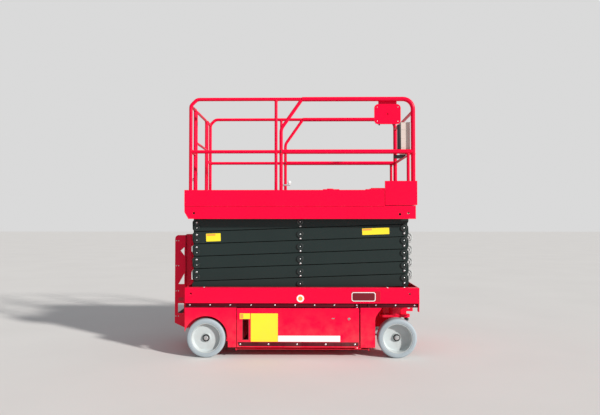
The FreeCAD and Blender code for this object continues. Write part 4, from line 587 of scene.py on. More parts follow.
class LIFT_OT_finishes(bpy.types.Operator):
    """Builds the finishes and gives every carried-over node its own"""

    bl_idname = "lift.finishes"
    bl_label = "Finishes"

    def execute(self, context):
        groups = (edge_wear_group, paint_film_group, rubber_skin_group, metal_grain_group, mould_grain_group)
        for make in (*groups, tread_plate_group):
            make()
        self.paints(context.scene.lift_paint)
        self.skins(context.scene.lift_paint)
        wrapped_hose()
        special = {f"{part}_deck": "deck_paint" for part in ("platform", "extension")}
        special.update({f"knuckle_{label}": "knuckle_paint" for label, _ in SIDES})
        special.update(document_box="frosted_plastic", lock_handle="pale_zinc", side_skirts="skirt_paint_shaded_strip_band")
        for part in frame["record"]["subparts"]:
            name = part["node"]
            finish = special.get(name, part["material_slot"])
            mesh = frame["nodes"][name].data
            mesh.materials.clear()
            mesh.materials.append(bpy.data.materials[f"{finish}_finish"])
        return {"FINISHED"}

    def paints(self, colours):
        red = colours.body_red
        black = (0.014, 0.014, 0.015)
        # Dark red of the side strips: the body red as it looks in shade, so the strips carry painted shade of
        # the recess under the beam
        strip = (0.085, 0.003, 0.009)
        painted("red_paint", red)
        deck_paint(red)
        # Black drive motors below the steering plates, and the strips' dark red, partly painted shade, run
        # across the skirts as a band
        banded_paint("knuckle_paint", red, black, 0, 0.345, 0)
        banded_paint("skirt_paint_shaded_strip_band", red, strip, 0.4885, 0.540, 0.560)
        # Finish, colour, roughness, dust, wear, worn colour, specular level
        painted("arm_paint", colours.arm_grey, 0.38, 0.12, 0.35, (0.13, 0.13, 0.12), 0.28)
        painted("black_paint", black, 0.45, 0.30, 0.4, (0.13, 0.13, 0.13), 0.4)
        # The strips' finish, whose dark red is partly painted shade
        painted("strip_black", strip, 0.55, 0.12, 0.3, (0.2, 0.15, 0.15), 0.14)
        painted("wheel_paint", colours.disc_grey, 0.42, 0.35, 0.6, (0.36, 0.35, 0.33), 0.5)
        # Colour, roughness, dust, wear and worn colour of the signs' films, in the order of FILMS
        films = [
            (colours.sign_yellow, 0.35, 0.12, 0.4, (0.7, 0.65, 0.4)),
            ((0.84, 0.85, 0.84), 0.35, 0.12, 0.3, (0.5, 0.5, 0.48)),
            ((0.84, 0.33, 0.06), 0.35, 0.10, 0.3, (0.6, 0.5, 0.4)),
            ((0.16, 0.006, 0.014), 0.32, 0.10, 0.3, (0.3, 0.2, 0.2)),
            ((0.50, 0, 0.02), 0.34, 0.10, 0.3, (0.3, 0.2, 0.2)),
        ]
        for name, film in zip(FILMS, films):
            painted(name, *film, 0.4, 0.0006)

    def skins(self, colours):
        # Group: metallic, specular level, strength and depth of its bump, names of its inputs
        kinds = {
            "metal_grain": (1, 0.5, 0.12, 0.0003, "Color", "Dull Color", "Dull", "Roughness"),
            "mould_grain": (0, 0.5, 0.18, 0.0003, "Color", "Rubbed Color", "Rubbed", "Roughness", "Pebbles"),
            "rubber_skin": (0, 0.35, 0.35, 0.0006, "Color", "Scuff Color", "Scuffs", "Roughness"),
        }
        # Finish, group, and the values of those inputs
        rows = [
            ("bright_steel", "metal_grain", (0.72, 0.73, 0.74), (0.40, 0.39, 0.37), 0.45, 0.30),
            ("pale_zinc", "metal_grain", (0.86, 0.87, 0.88), (0.55, 0.54, 0.52), 0.30, 0.42),
            ("dark_steel", "metal_grain", (0.085, 0.09, 0.09), (0.04, 0.04, 0.04), 0.45, 0.30),
            ("chromed_rod", "metal_grain", (0.86, 0.87, 0.88), (0.60, 0.60, 0.60), 0.15, 0.10),
            ("battery_plastic", "mould_grain", (0.020, 0.021, 0.024), (0.09, 0.09, 0.09), 0.45, 0.48, 700.0),
            ("pale_plastic", "mould_grain", (0.70, 0.69, 0.66), (0.52, 0.50, 0.46), 0.35, 0.45, 900.0),
            ("frosted_plastic", "mould_grain", (0.66, 0.56, 0.51), (0.50, 0.44, 0.40), 0.35, 0.38, 900.0),
            ("pad_plastic", "mould_grain", (0.50, 0.48, 0.42), (0.30, 0.29, 0.26), 0.50, 0.50, 900.0),
            ("white_knob", "mould_grain", (0.86, 0.86, 0.84), (0.62, 0.60, 0.56), 0.30, 0.22, 1200.0),
            ("red_knob", "mould_grain", (0.62, 0.008, 0.010), (0.40, 0.05, 0.05), 0.30, 0.28, 1200.0),
            ("yellow_ring", "mould_grain", (0.85, 0.62, 0.02), (0.55, 0.42, 0.10), 0.30, 0.35, 1200.0),
            ("dark_screen", "mould_grain", (0.012, 0.016, 0.018), (0.03, 0.035, 0.04), 0.30, 0.10, 1200.0),
            ("tyre_rubber", "rubber_skin", colours.tyre_grey, (0.25, 0.26, 0.26), 0.55, 0.62),
            ("black_rubber", "rubber_skin", (0.018, 0.018, 0.019), (0.08, 0.08, 0.08), 0.40, 0.60),
        ]
        for name, kind, *values in rows:
            metallic, specular, strength, depth, *labels = kinds[kind]
            tree, shader = finish_base(name, metallic, specular)
            wire_up(tree, shader, effect(tree, kind, dict(zip(labels, values))), strength, depth)


class LIFT_OT_tyres(bpy.types.Operator):
    """Turns the solid tyres with their rounded shoulders and moulded sidewall line"""

    bl_idname = "lift.tyres"
    bl_label = "Tyres"

    def execute(self, context):
        steps = context.scene.lift_trim.tyre_steps
        # Outer half of the tyre's section: distance from its middle, radius
        section = [(0.0590, 0.1457), (0.0622, 0.1482), (0.0634, 0.1530), (0.0634, 0.1592)]
        section += [(0.0620, 0.1603), (0.0620, 0.1622), (0.0632, 0.1634), (0.0625, 0.1730)]
        section += [(0.0602, 0.1810), (0.0556, 0.1866), (0.0480, 0.1895), (0.0380, 0.1904)]
        profile = section + [(-along, radius) for along, radius in reversed(section)]
        for end, x, _ in AXLES:
            for label, side in SIDES:
                shape = bmesh.new()
                add_turned(shape, (x, WHEEL_Y * side, WHEEL_Z), (0, side, 0), profile, steps, ring=True)
                tyre = finished(f"moulded_tyre_{end}_{label}", shape, f"wheel_{end}_{label}", "tyre_rubber")
                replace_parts(tyre, f"tyre_{end}_{label}")
        return {"FINISHED"}


class LIFT_OT_hubs(bpy.types.Operator):
    """Adds rim lips, weld beads, hub nuts, seals and split pins to the wheels"""

    bl_idname = "lift.hubs"
    bl_label = "Wheel hubs"

    def execute(self, context):
        for end, x, dish in AXLES:
            for label, side in SIDES:
                way = Vector((0, side, 0))
                middle = Vector((x, WHEEL_Y * side, WHEEL_Z))
                disc = middle + way * (RIM_EDGE - dish)
                self.welds(f"{end}_{label}", middle, disc, way)
                self.nut(f"{end}_{label}", disc + way * 0.014, way)
        return {"FINISHED"}

    def welds(self, name, middle, disc, way):
        lip = [(0.0572, 0.1376), (0.0590, 0.1384), (0.0601, 0.1400)]
        lip += [(0.0603, 0.1420), (0.0597, 0.1440), (0.0572, 0.1453)]
        rim_bead = [(-0.001, 0.1240), (0.0028, 0.1252), (0.0052, 0.1278), (0.0062, 0.1312), (-0.001, 0.1316)]
        hub_bead = [(-0.001, 0.0480), (0.0022, 0.0465), (0.0050, 0.0438), (0.0056, 0.0405), (-0.001, 0.0400)]
        shape = bmesh.new()
        add_turned(shape, middle, way, lip, 72, ring=True)
        add_turned(shape, disc, way, rim_bead, 72, ring=True)
        add_turned(shape, disc, way, hub_bead, 48, ring=True)
        finished(f"rim_welds_{name}", shape, f"wheel_{name}", "wheel_paint")

    def nut(self, name, hub, way):
        shape = bmesh.new()
        add_bar(shape, hub + way * 0.0026, hub + way * 0.0130, 0.0245, 0.0014, sides=6)
        crown = hub + way * 0.0148
        half = Vector((0.003, 0.0016, 0.003))
        for i in range(3):
            turn = math.radians(60 * i)
            out = Vector((math.cos(turn), 0, math.sin(turn))) * 0.0195
            add_block(shape, crown + out * 0.9 - half, crown + out * 1.05 + half, 0.0006)
        pin, reach = hub + way * 0.0146, Vector((0.026, 0, -0.004))
        add_bar(shape, pin - reach, pin + reach, 0.0018, 0.0005, sides=10)
        add_turned(shape, hub, way, [(0.016, 0), (0.016, 0.0145), (0.0185, 0.0130), (0.0190, 0)], 24)
        finished(f"hub_nut_{name}", shape, f"wheel_{name}", "bright_steel")
        shape = bmesh.new()
        add_collar(shape, hub, way, 0.0172, 0.0355, -0.0005, 0.0030)
        finished(f"hub_seal_{name}", shape, f"wheel_{name}", "black_rubber")


class LIFT_OT_panels(bpy.types.Operator):
    """Sets the side panels' outer faces back, so that strips and signs stay within the width"""

    bl_idname = "lift.panels"
    bl_label = "Side panels"

    def execute(self, context):
        # Node, its body and the new place of its outer faces
        rows = [("side_beams", "chassis", BEAM_FACE)]
        rows += [(f"tray_{label}", f"tray_{label}", TRAY_FACE) for label, _ in SIDES]
        for node, body, face in rows:
            shape = bmesh.new()
            shape.from_mesh(frame["nodes"][node].data)
            moved(shape, frame["nodes"][node].matrix_world)
            for vert in shape.verts:
                if abs(vert.co.y) > face:
                    vert.co.y = math.copysign(face, vert.co.y)
            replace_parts(finished(f"pressed_{node}", shape, body, "red_paint", 12.0), node)
        return {"FINISHED"}


class LIFT_OT_side_strips(bpy.types.Operator):
    """Lays the dark strips along both sides and screws them down; their dark red is partly painted shade"""

    bl_idname = "lift.side_strips"
    bl_label = "Side strips"

    def execute(self, context):
        trim = context.scene.lift_trim
        # Stretch: rear end, front end, lower edge
        stretches = [(-1.043, -0.549, 0.4985), (-0.546, 0.605, 0.4885), (0.608, 1.228, 0.4985)]
        beam_screws = (-1.007, -0.807, -0.611, -0.405, -0.170, 0.026)
        beam_screws += (0.217, 0.409, 0.629, 0.815, 1.006, 1.192)
        for label, side in SIDES:
            strip = bmesh.new()
            for rear, front, low in stretches:
                first = (rear, side * (STRIP_FACE - 0.0005), low)
                add_block(strip, first, (front, side * (STRIP_FACE + 0.0022), STRIP_TOP), 0.0008)
            finished(f"beam_strip_{label}", strip, "chassis", "strip_black")
            screws = bmesh.new()
            for x in beam_screws:
                place = (x, side * (STRIP_FACE + 0.002), 0.512)
                add_button(screws, place, (0, side, 0), trim.bolt_radius, trim.bolt_height)
            for x in (0.933, 1.098, -0.870):
                add_button(screws, (x, side * 0.548, 0.682), UP, 0.008, 0.005)
            finished(f"beam_screws_{label}", screws, "chassis", "pale_zinc")
            self.tray_strip(label, side, trim)
        return {"FINISHED"}

    def tray_strip(self, label, side, trim):
        strip = bmesh.new()
        start = (-0.535, side * (TRAY_FACE - 0.0005), 0.115)
        add_block(strip, start, (0.646, side * (TRAY_FACE + 0.0008), 0.1545))
        for vert in strip.verts:
            if vert.co.x < 0 and vert.co.z < 0.13:
                vert.co.x += 0.016
        soft_bevel(strip, strip.edges, 0.0005, 2)
        finished(f"tray_strip_{label}", strip, f"tray_{label}", "strip_black")
        screws = bmesh.new()
        for x in (-0.508, -0.233, 0.046, 0.325, 0.609):
            place = (x, side * (TRAY_FACE + 0.0006), 0.1345)
            add_button(screws, place, (0, side, 0), trim.bolt_radius, trim.bolt_height * 0.5)
        finished(f"tray_screws_{label}", screws, f"tray_{label}", "pale_zinc")


class LIFT_OT_signs(bpy.types.Operator):
    """Sets the blank signs and plates on the right side"""

    bl_idname = "lift.signs"
    bl_label = "Blank signs"

    def execute(self, context):
        film = context.scene.lift_trim.sign_film
        lift = film * FILM_LIFT
        # Sign, body, film, rear, front, low and high edge, face, corner, layers below it
        rows = [
            ("tray_sign_large", "tray_right", "yellow", (-0.405, -0.141, 0.159, 0.433), TRAY_FACE, 0.004, 0),
            ("tray_sign_small", "tray_right", "yellow", (-0.513, -0.412, 0.379, 0.433), TRAY_FACE, 0.003, 0),
            ("tray_sign_band", "tray_right", "amber", (-0.508, -0.478, 0.384, 0.428), TRAY_FACE, 0.002, 1),
            ("tray_sign_white", "tray_right", "white", (-0.139, 0.467, 0.159, 0.218), TRAY_FACE, 0.003, 0),
            ("beam_backing", "chassis", "deep_red", (0.575, 0.859, 0.546, 0.651), BEAM_FACE, 0.004, 0),
            ("beam_plate_rim", "chassis", "white", (0.579, 0.812, 0.552, 0.641), BEAM_FACE, 0.020, 1),
            ("beam_plate", "chassis", "dark", (0.586, 0.805, 0.559, 0.634), BEAM_FACE, 0.015, 2),
            ("ladder_sign", "chassis", "deep_red", (-1.200, -1.146, 0.500, 0.536), 0.220, 0.003, 0),
        ]
        for name, body, colour, span, face, corner, layer in rows:
            shape = bmesh.new()
            add_film(shape, span, face + layer * lift, film, corner)
            finished(name, shape, body, f"film_{colour}")
        rounds = [("beam_round_rim", "white", 0.036, 0), ("beam_round", "amber", 0.022, 1)]
        for name, colour, radius, layer in rounds:
            shape = bmesh.new()
            start = Vector((0.079, -BEAM_FACE - layer * lift, 0.579))
            add_bar(shape, start, start - Vector((0, film, 0)), radius, film * 0.3, sides=40, steps=1)
            finished(name, shape, "chassis", f"film_{colour}")
        # On the fifth outer arm the places run along the arm from its rear pin, and above it
        rows = [
            ("arm_signs", "yellow", (0.092, 0.238, -0.017, 0.062), (1.655, 1.925, -0.007, 0.058), 0.004, 0),
            ("arm_sign_bands", "amber", (1.660, 1.752, 0.036, 0.054), (0.098, 0.186, 0.040, 0.056), 0.002, 1),
        ]
        for name, colour, *spans, corner, layer in rows:
            shape = bmesh.new()
            for span in spans:
                add_film(shape, span, ARM_FACE + layer * lift, film, corner)
            moved(shape, arm_place(5))
            finished(name, shape, "arm_5_outer", f"film_{colour}")
        return {"FINISHED"}


class LIFT_OT_tray_locks(bpy.types.Operator):
    """Fits the trays' locks and latches, the seals of their hand slots and the hinges' washers"""

    bl_idname = "lift.tray_locks"
    bl_label = "Tray locks"

    def execute(self, context):
        x, z = 0.553, 0.381
        for label, side in SIDES:
            lock = bmesh.new()
            add_block(lock, (0.386, side * 0.574, 0.3785), (0.412, side * 0.5795, 0.3895), 0.0015)
            add_bar(lock, (x, side * 0.572, z), (x, side * 0.5805, z), 0.0082, 0.001, sides=28)
            add_collar(lock, (x, side * TRAY_FACE, z), (0, side, 0), 0.0092, 0.0125, -0.0006, 0.0014)
            finished(f"tray_lock_{label}", lock, f"tray_{label}", "bright_steel")
            seals = bmesh.new()
            add_block(seals, (0.5515, side * 0.5800, 0.3755), (0.5545, side * 0.5809, 0.3865), 0.0003)
            self.slot_edge(seals, side)
            finished(f"tray_seals_{label}", seals, f"tray_{label}", "black_rubber")
            washers = bmesh.new()
            for low in (0.098, 0.490):
                add_collar(washers, (0.628, side * 0.568, 0), UP, 0.0084, 0.0125, low, low + 0.004)
            finished(f"hinge_washers_{label}", washers, "chassis", "bright_steel")
        return {"FINISHED"}

    def slot_edge(self, shape, side):
        """A rubber profile round the hand slot."""
        rear, front, low, high = -0.486, -0.426, 0.176, 0.376
        wide = 0.0045
        inner, outer = side * 0.576, side * (TRAY_FACE + 0.0010)
        for x in (rear, front - wide):
            add_block(shape, (x, inner, low), (x + wide, outer, high), 0.0012)
        for z in (low, high - wide):
            add_block(shape, (rear, inner, z), (front, outer, z + wide), 0.0012)


class LIFT_OT_running_gear(bpy.types.Operator):
    """Adds nuts, kingpin caps, motor flanges and fittings to the front axle"""

    bl_idname = "lift.running_gear"
    bl_label = "Running gear"

    def execute(self, context):
        x, pin_y = KINGPIN
        # Top of the axle's plate, and the circle of its bolts
        top, circle = 0.4762, 0.046
        cap = [(0, 0), (0, 0.040), (0.006, 0.040), (0.010, 0.034)]
        cap += [(0.011, 0.012), (0.016, 0.009), (0.019, 0)]
        chassis = bmesh.new()
        steering = bmesh.new()
        for label, side in SIDES:
            y = pin_y * side
            add_turned(chassis, (x, y, top), UP, cap, 36)
            for i in range(4):
                turn = math.radians(45 + 90 * i)
                bolt = (x + circle * math.cos(turn), y + circle * math.sin(turn), top)
                add_hex(chassis, bolt, UP, 0.0055, 0.005)
            for bolt_y in (0.285, 0.330):
                for bolt_z in (0.420, 0.456):
                    add_hex(chassis, (1.143, side * bolt_y, bolt_z), ALONG, 0.009, 0.007)
            start, end = (LINK_X, side * 0.372, LINK_Z), (LINK_X, side * 0.356, LINK_Z)
            add_bar(steering, start, end, 0.019, 0.0015, sides=6)
            add_collar(steering, (LINK_X, y, LINK_Z), UP, 0.0125, 0.0175, -0.0135, -0.0115)
            self.motor(label, side)
        finished("axle_fasteners", chassis, "chassis", "bright_steel")
        finished("link_nuts", steering, "steering_link", "bright_steel")
        return {"FINISHED"}

    def motor(self, label, side):
        x, pin_y = KINGPIN
        way = Vector((0, side, 0))
        up = Vector(UP)
        inner = Vector((x, side * 0.305, WHEEL_Z))
        flanges = bmesh.new()
        cover = [(0, 0), (-0.010, 0), (-0.014, 0.030), (-0.012, 0.050), (0, 0.056)]
        add_turned(flanges, inner, way, cover, 40)
        add_collar(flanges, inner, way, 0.0775, 0.0850, 0.012, 0.026)
        add_collar(flanges, inner, way, 0.0775, 0.0890, 0.118, 0.146)
        finished(f"motor_flanges_{label}", flanges, f"steer_{label}", "black_paint")
        steel = bmesh.new()
        for i in range(8):
            turn = math.radians(22.5 + 45 * i)
            out = Vector((math.cos(turn), 0, math.sin(turn)))
            add_hex(steel, inner + out * 0.067, -way, 0.0065, 0.006)
        for along in (0.045, 0.085):
            port = inner + way * along + Vector((0.030, 0, 0.0715))
            add_bar(steel, port, port + up * 0.016, 0.0125, 0.001, sides=6)
            add_bar(steel, port + up * 0.012, port + Vector((0.012, 0, 0.034)), 0.0085, 0.001, sides=20)
        nut = Vector((LINK_X, side * pin_y, 0.3375))
        add_bar(steel, nut, nut - up * 0.010, 0.0175, 0.0012, sides=6)
        finished(f"steer_fasteners_{label}", steel, f"steer_{label}", "bright_steel")


class LIFT_OT_ladder_trim(bpy.types.Operator):
    """Adds the rungs' grip strips and the ladder's bolts"""

    bl_idname = "lift.ladder_trim"
    bl_label = "Ladder trim"

    def execute(self, context):
        grips = bmesh.new()
        bolts = bmesh.new()
        for i in range(4):
            top = FIRST_RUNG + RUNG_PITCH * i
            add_block(grips, (-1.2335, -0.190, top - 0.0004), (-1.1905, 0.190, top + 0.0018), 0.0006)
            for ridge in range(5):
                x = -1.2295 + 0.0088 * ridge
                add_block(grips, (x, -0.186, top + 0.001), (x + 0.0040, 0.186, top + 0.0034), 0.0008)
            for _, side in SIDES:
                for x in (-1.224, -1.199):
                    add_button(bolts, (x, side * 0.220, top - 0.013), (0, side, 0), 0.0062, 0.0035)
        for _, side in SIDES:
            for z in (0.560, 0.640):
                add_hex(bolts, (-1.088, side * 0.1895, z), (0, -side, 0), 0.009, 0.007)
        finished("rung_grips", grips, "chassis", "black_rubber")
        finished("ladder_bolts", bolts, "chassis", "bright_steel")
        return {"FINISHED"}


class LIFT_OT_pin_locks(bpy.types.Operator):
    """Locks every scissor pin with a tab and a bolt, and dresses its cap"""

    bl_idname = "lift.pin_locks"
    bl_label = "Pin locks"

    def execute(self, context):
        # Pin, its place along and above the rear pin, way and distance to its bolt, distance of the tab's end
        pins = [
            ("rear", 0, 0, 1, 0.054, 0.068),
            ("middle", ARM_RUN / 2, PIN_OFFSET, -1, 0.045, 0.055),
            ("front", ARM_RUN, 2 * PIN_OFFSET, -1, 0.054, 0.068),
        ]
        nipple = [(0, 0), (0, 0.0055), (0.003, 0.0052), (0.004, 0.003), (0.008, 0.0026), (0.009, 0)]
        for level in range(1, 7):
            tabs = bmesh.new()
            bolts = bmesh.new()
            for name, along, above, way, reach, end in pins:
                if (level, name) in ((1, "rear"), (6, "front")):
                    continue
                for _, side in SIDES:
                    outward = (0, side, 0)
                    face = side * (ARM_FACE + 0.005)
                    start = (along - 0.015, side * (ARM_FACE - 0.0005), above + way * 0.028)
                    add_block(tabs, start, (along + 0.015, face, above + way * end), 0.0015)
                    cap = (along, side * (ARM_FACE + 0.0095), above)
                    add_collar(tabs, cap, outward, 0.0215, 0.0295, 0, 0.0022)
                    add_button(bolts, (along, face, above + way * reach), outward, 0.0088, 0.0058)
                    add_turned(bolts, cap, outward, nipple, 12)
            for shape in (tabs, bolts):
                moved(shape, arm_place(level))
            finished(f"pin_tabs_{level}", tabs, f"arm_{level}_outer", "dark_steel")
            finished(f"pin_bolts_{level}", bolts, f"arm_{level}_outer", "pale_zinc")
        return {"FINISHED"}


class LIFT_OT_hose_loops(bpy.types.Operator):
    """Bends the wrapped hoses that pass from arm to arm at the front ends"""

    bl_idname = "lift.hose_loops"
    bl_label = "Hose loops"

    def execute(self, context):
        radius = context.scene.lift_trim.hose_radius
        inner, outer = radius - 0.001, radius + 0.003
        # Place from the middle, reach to the front, upper and lower end from the pin
        loops = ((-0.368, 1.203, 0.070, -0.020), (-0.394, 1.184, 0.046, 0.002))
        for level in range(2, 6):
            z = REAR_PIN[1] + PITCH * (level - 1)
            hoses = bmesh.new()
            clips = bmesh.new()
            for y, reach, upper, lower in loops:
                line = [
                    (1.146, y, z + upper),
                    (1.170, y, z + upper + 0.004),
                    (reach, y, z + upper - 0.014),
                    (reach + 0.002, y + 0.002, z + (upper + lower) / 2),
                    (reach - 0.002, y, z + lower + 0.010),
                    (1.168, y, z + lower - 0.003),
                    (1.146, y, z + lower),
                ]
                add_pipe(hoses, line, radius)
                for end in (upper, lower):
                    add_collar(clips, (1.153, y, z + end), ALONG, inner, outer, -0.002, 0.008)
            finished(f"hose_loop_{level}", hoses, f"arm_{level}_inner", "hose_wrap", 60.0)
            finished(f"hose_clips_{level}", clips, f"arm_{level}_inner", "black_rubber")
        return {"FINISHED"}


class LIFT_OT_cylinder_trim(bpy.types.Operator):
    """Adds ports, a steel pipe, a wiper ring and rubber bands to the lift cylinders"""

    bl_idname = "lift.cylinder_trim"
    bl_label = "Cylinder trim"

    def execute(self, context):
        # Eyes above and below their arms' pin lines, and their distances from the arms' ends
        above, below = 0.080 - PIN_OFFSET, -0.080 - PIN_OFFSET
        barrel_end, rod_end = 0.271, 0.350
        cos, sin = math.cos(ARM_TILT), math.sin(ARM_TILT)
        run = ARM_RUN - rod_end - barrel_end
        across = cos * run + sin * (below - above)
        rise = 2 * PITCH - sin * run + cos * (below - above)
        x = REAR_PIN[0] + cos * barrel_end + sin * above
        for name, level in (("lower", 1), ("upper", 4)):
            z = REAR_PIN[1] + PITCH * level - sin * barrel_end + cos * above
            place = Matrix.Translation((x, 0, z)) @ Matrix.Rotation(-math.atan2(rise, across), 4, "Y")
            self.barrel(name, place, math.hypot(across, rise) - 0.130)
        return {"FINISHED"}

    def barrel(self, name, place, gland):
        shape = bmesh.new()
        for along in (0.085, gland - 0.085):
            add_bar(shape, (along, 0.048, 0), (along, 0.064, 0), 0.015, 0.0015)
            add_bar(shape, (along, 0.062, 0), (along, 0.074, 0), 0.011, 0.001, sides=6)
        half = [(0.085, 0.070), (0.110, 0.070), (0.150, 0.0625), (0.260, 0.0605)]
        line = [(along, out, 0) for along, out in half]
        line += [(gland - along, out, 0) for along, out in reversed(half)]
        add_pipe(shape, line, 0.005)
        moved(shape, place)
        finished(f"{name}_barrel_pipe", shape, f"{name}_barrel", "bright_steel")
        shape = bmesh.new()
        add_collar(shape, (0, 0, 0), ALONG, 0.0306, 0.0470, gland - 0.001, gland + 0.007)
        for along in (0.300, gland * 0.5, gland - 0.300):
            add_collar(shape, (0, 0, 0), ALONG, 0.0515, 0.0545, along - 0.009, along + 0.009)
        moved(shape, place)
        finished(f"{name}_barrel_rings", shape, f"{name}_barrel", "black_rubber")


class LIFT_OT_tray_loads(bpy.types.Operator):
    """Adds lids, caps, posts and links to the batteries, and fittings to the pump unit"""

    bl_idname = "lift.tray_loads"
    bl_label = "Tray loads"

    def execute(self, context):
        self.batteries()
        self.pump_unit()
        return {"FINISHED"}

    def batteries(self):
        lids = bmesh.new()
        caps = bmesh.new()
        posts = bmesh.new()
        post_y = -0.525
        cap = [(0, 0), (0, 0.016), (0.007, 0.015), (0.009, 0.011), (0.009, 0)]
        fronts = [0.606 - BATTERY_PITCH * i for i in range(4)]
        for front in fronts:
            rear = front - BATTERY_LENGTH
            add_block(lids, (rear - 0.002, -0.561, 0.378), (front + 0.002, -0.367, 0.397), 0.004, 3)
            for i in range(3):
                add_turned(caps, (rear + 0.065 + 0.060 * i, -TRAY_MIDDLE, 0.3965), UP, cap, 24)
            for x in (rear + 0.030, front - 0.030):
                add_bar(posts, (x, post_y, 0.395), (x, post_y, 0.414), 0.009, 0.001, tip=0.0075)
                add_hex(posts, (x, post_y, 0.407), UP, 0.0085, 0.006)
        for behind, ahead in zip(fronts[1:], fronts):
            start, end = behind - 0.030, ahead - 0.220
            line = [(start, post_y, 0.411), (start + 0.010, -0.512, 0.425)]
            add_pipe(caps, line + [(end - 0.010, -0.512, 0.425), (end, post_y, 0.411)], 0.006)
        finished("battery_lids", lids, "tray_right", "battery_plastic")
        finished("battery_caps", caps, "tray_right", "red_knob")
        finished("battery_posts", posts, "tray_right", "pale_zinc")

    def pump_unit(self):
        dark = bmesh.new()
        steel = bmesh.new()
        filler = [(0, 0), (0, 0.030), (0.004, 0.030), (0.006, 0.024)]
        filler += [(0.020, 0.024), (0.026, 0.020), (0.028, 0)]
        add_turned(dark, (0.520, TRAY_MIDDLE, 0.392), UP, filler, 32)
        add_block(dark, (0.120, 0.379, 0.3915), (0.460, 0.549, 0.396), 0.002)
        for x in (-0.300, -0.240, -0.180, -0.120):
            add_collar(dark, (x, TRAY_MIDDLE, 0.182), ALONG, 0.0695, 0.0735, -0.005, 0.005)
        for x in (0.135, 0.290, 0.445):
            for y in (0.392, 0.536):
                add_hex(steel, (x, y, 0.396), UP, 0.006, 0.005)
        for x, y in ((-0.045, 0.420), (0.010, 0.420), (0.065, 0.420), (-0.020, 0.510), (0.045, 0.510)):
            add_bar(steel, (x, y, 0.251), (x, y, 0.268), 0.014, 0.0012, sides=6)
            add_bar(steel, (x, y, 0.266), (x, y, 0.292), 0.0095, 0.001, sides=20)
        finished("pump_covers", dark, "tray_left", "black_rubber")
        finished("pump_fittings", steel, "tray_left", "bright_steel")


class LIFT_OT_rail_trim(bpy.types.Operator):
    """Adds post feet, weld beads and bushes to both guardrails, and guides to the toe boards"""

    bl_idname = "lift.rail_trim"
    bl_label = "Guardrail trim"

    def execute(self, context):
        # Posts: place along the machine and from its middle, radius
        main = [(GATE_X, RAIL_Y, 0.017), (MIDDLE_POST_X, RAIL_Y, 0.015), (GATE_X, 0.329, 0.017)]
        sliding = [(SLEEVE_X, RAIL_Y, 0.017), (FRONT_POST_X, RAIL_Y, 0.022), (BRACE_POST_X, RAIL_Y, 0.015)]
        # Half length of a foot
        half = 0.0235
        for body, floor, posts in (("platform", 1.486, main), ("extension", 1.497, sliding)):
            feet = bmesh.new()
            screws = bmesh.new()
            for x, y, radius in posts:
                for _, side in SIDES:
                    outer = (x + half, side * min(y + 0.026, 0.5635), floor + 0.006)
                    add_block(feet, (x - half, side * (y - 0.026), floor - 0.0005), outer, 0.0015)
                    rim = (radius - 0.001, radius + 0.0045)
                    add_collar(feet, (x, side * y, floor), UP, *rim, 0.0045, 0.0105)
                    for step in (-0.0165, 0.0165):
                        add_button(screws, (x + step, side * (y - 0.0195), floor + 0.006), UP, 0.0048, 0.0035)
            self.beads(feet, body)
            finished(f"{body}_post_feet", feet, body, "red_paint")
            finished(f"{body}_post_screws", screws, body, "bright_steel")
        self.small_parts()
        return {"FINISHED"}

    def beads(self, shape, body):
        """Weld beads where rails meet posts."""
        if body == "platform":
            # Beads round posts: place along, height, radius. On cross rails: ends with ways, heights
            posts = [(MIDDLE_POST_X, MID_RAIL, 0.015), (MIDDLE_POST_X, TOP_RAIL, 0.015)]
            below, cross_x = 0.017, GATE_X
            ends, heights = ((0.346, 1), (0.530, -1)), (MID_RAIL, TOP_RAIL - 0.065)
        else:
            posts = [(SLEEVE_X, MID_RAIL, 0.017), (FRONT_POST_X, MID_RAIL, 0.022)]
            posts += [(BRACE_POST_X, MID_RAIL, 0.015)]
            below, cross_x = 0.022, FRONT_POST_X
            ends, heights = ((0.525, -1),), (MID_RAIL, TOP_RAIL - 0.122)
        for _, side in SIDES:
            if body == "platform":
                place = (GATE_X + 0.017, side * RAIL_Y, MID_RAIL)
                add_collar(shape, place, ALONG, 0.016, 0.0205, 0, 0.006)
            for x, z, radius in posts:
                place = (x, side * RAIL_Y, z - below)
                add_collar(shape, place, UP, radius - 0.001, radius + 0.0035, -0.005, 0.002)
            for z in heights:
                for y, way in ends:
                    place = (cross_x, side * y, z)
                    add_collar(shape, place, (0, side * way, 0), 0.0145, 0.0185, -0.001, 0.005)

    def small_parts(self):
        """Plastic bushes in the open ends of the sliding rails, and guides on the toe boards."""
        bushes = bmesh.new()
        guides = bmesh.new()
        for _, side in SIDES:
            add_collar(bushes, (SLEEVE_X, side * RAIL_Y, MID_RAIL), ALONG, 0.0176, 0.0235, -0.004, 0.005)
            inner, outer = side * 0.577, side * 0.5845
            for rear, front in ((0.300, 0.462), (0.716, 0.880)):
                add_block(guides, (rear, inner, 1.6395), (front, outer, 1.647), 0.002)
                add_block(guides, (rear + 0.04, inner, 1.646), (front - 0.06, outer, 1.653), 0.002)
        finished("sleeve_bushes", bushes, "extension", "battery_plastic")
        finished("toe_guides", guides, "platform", "red_paint")


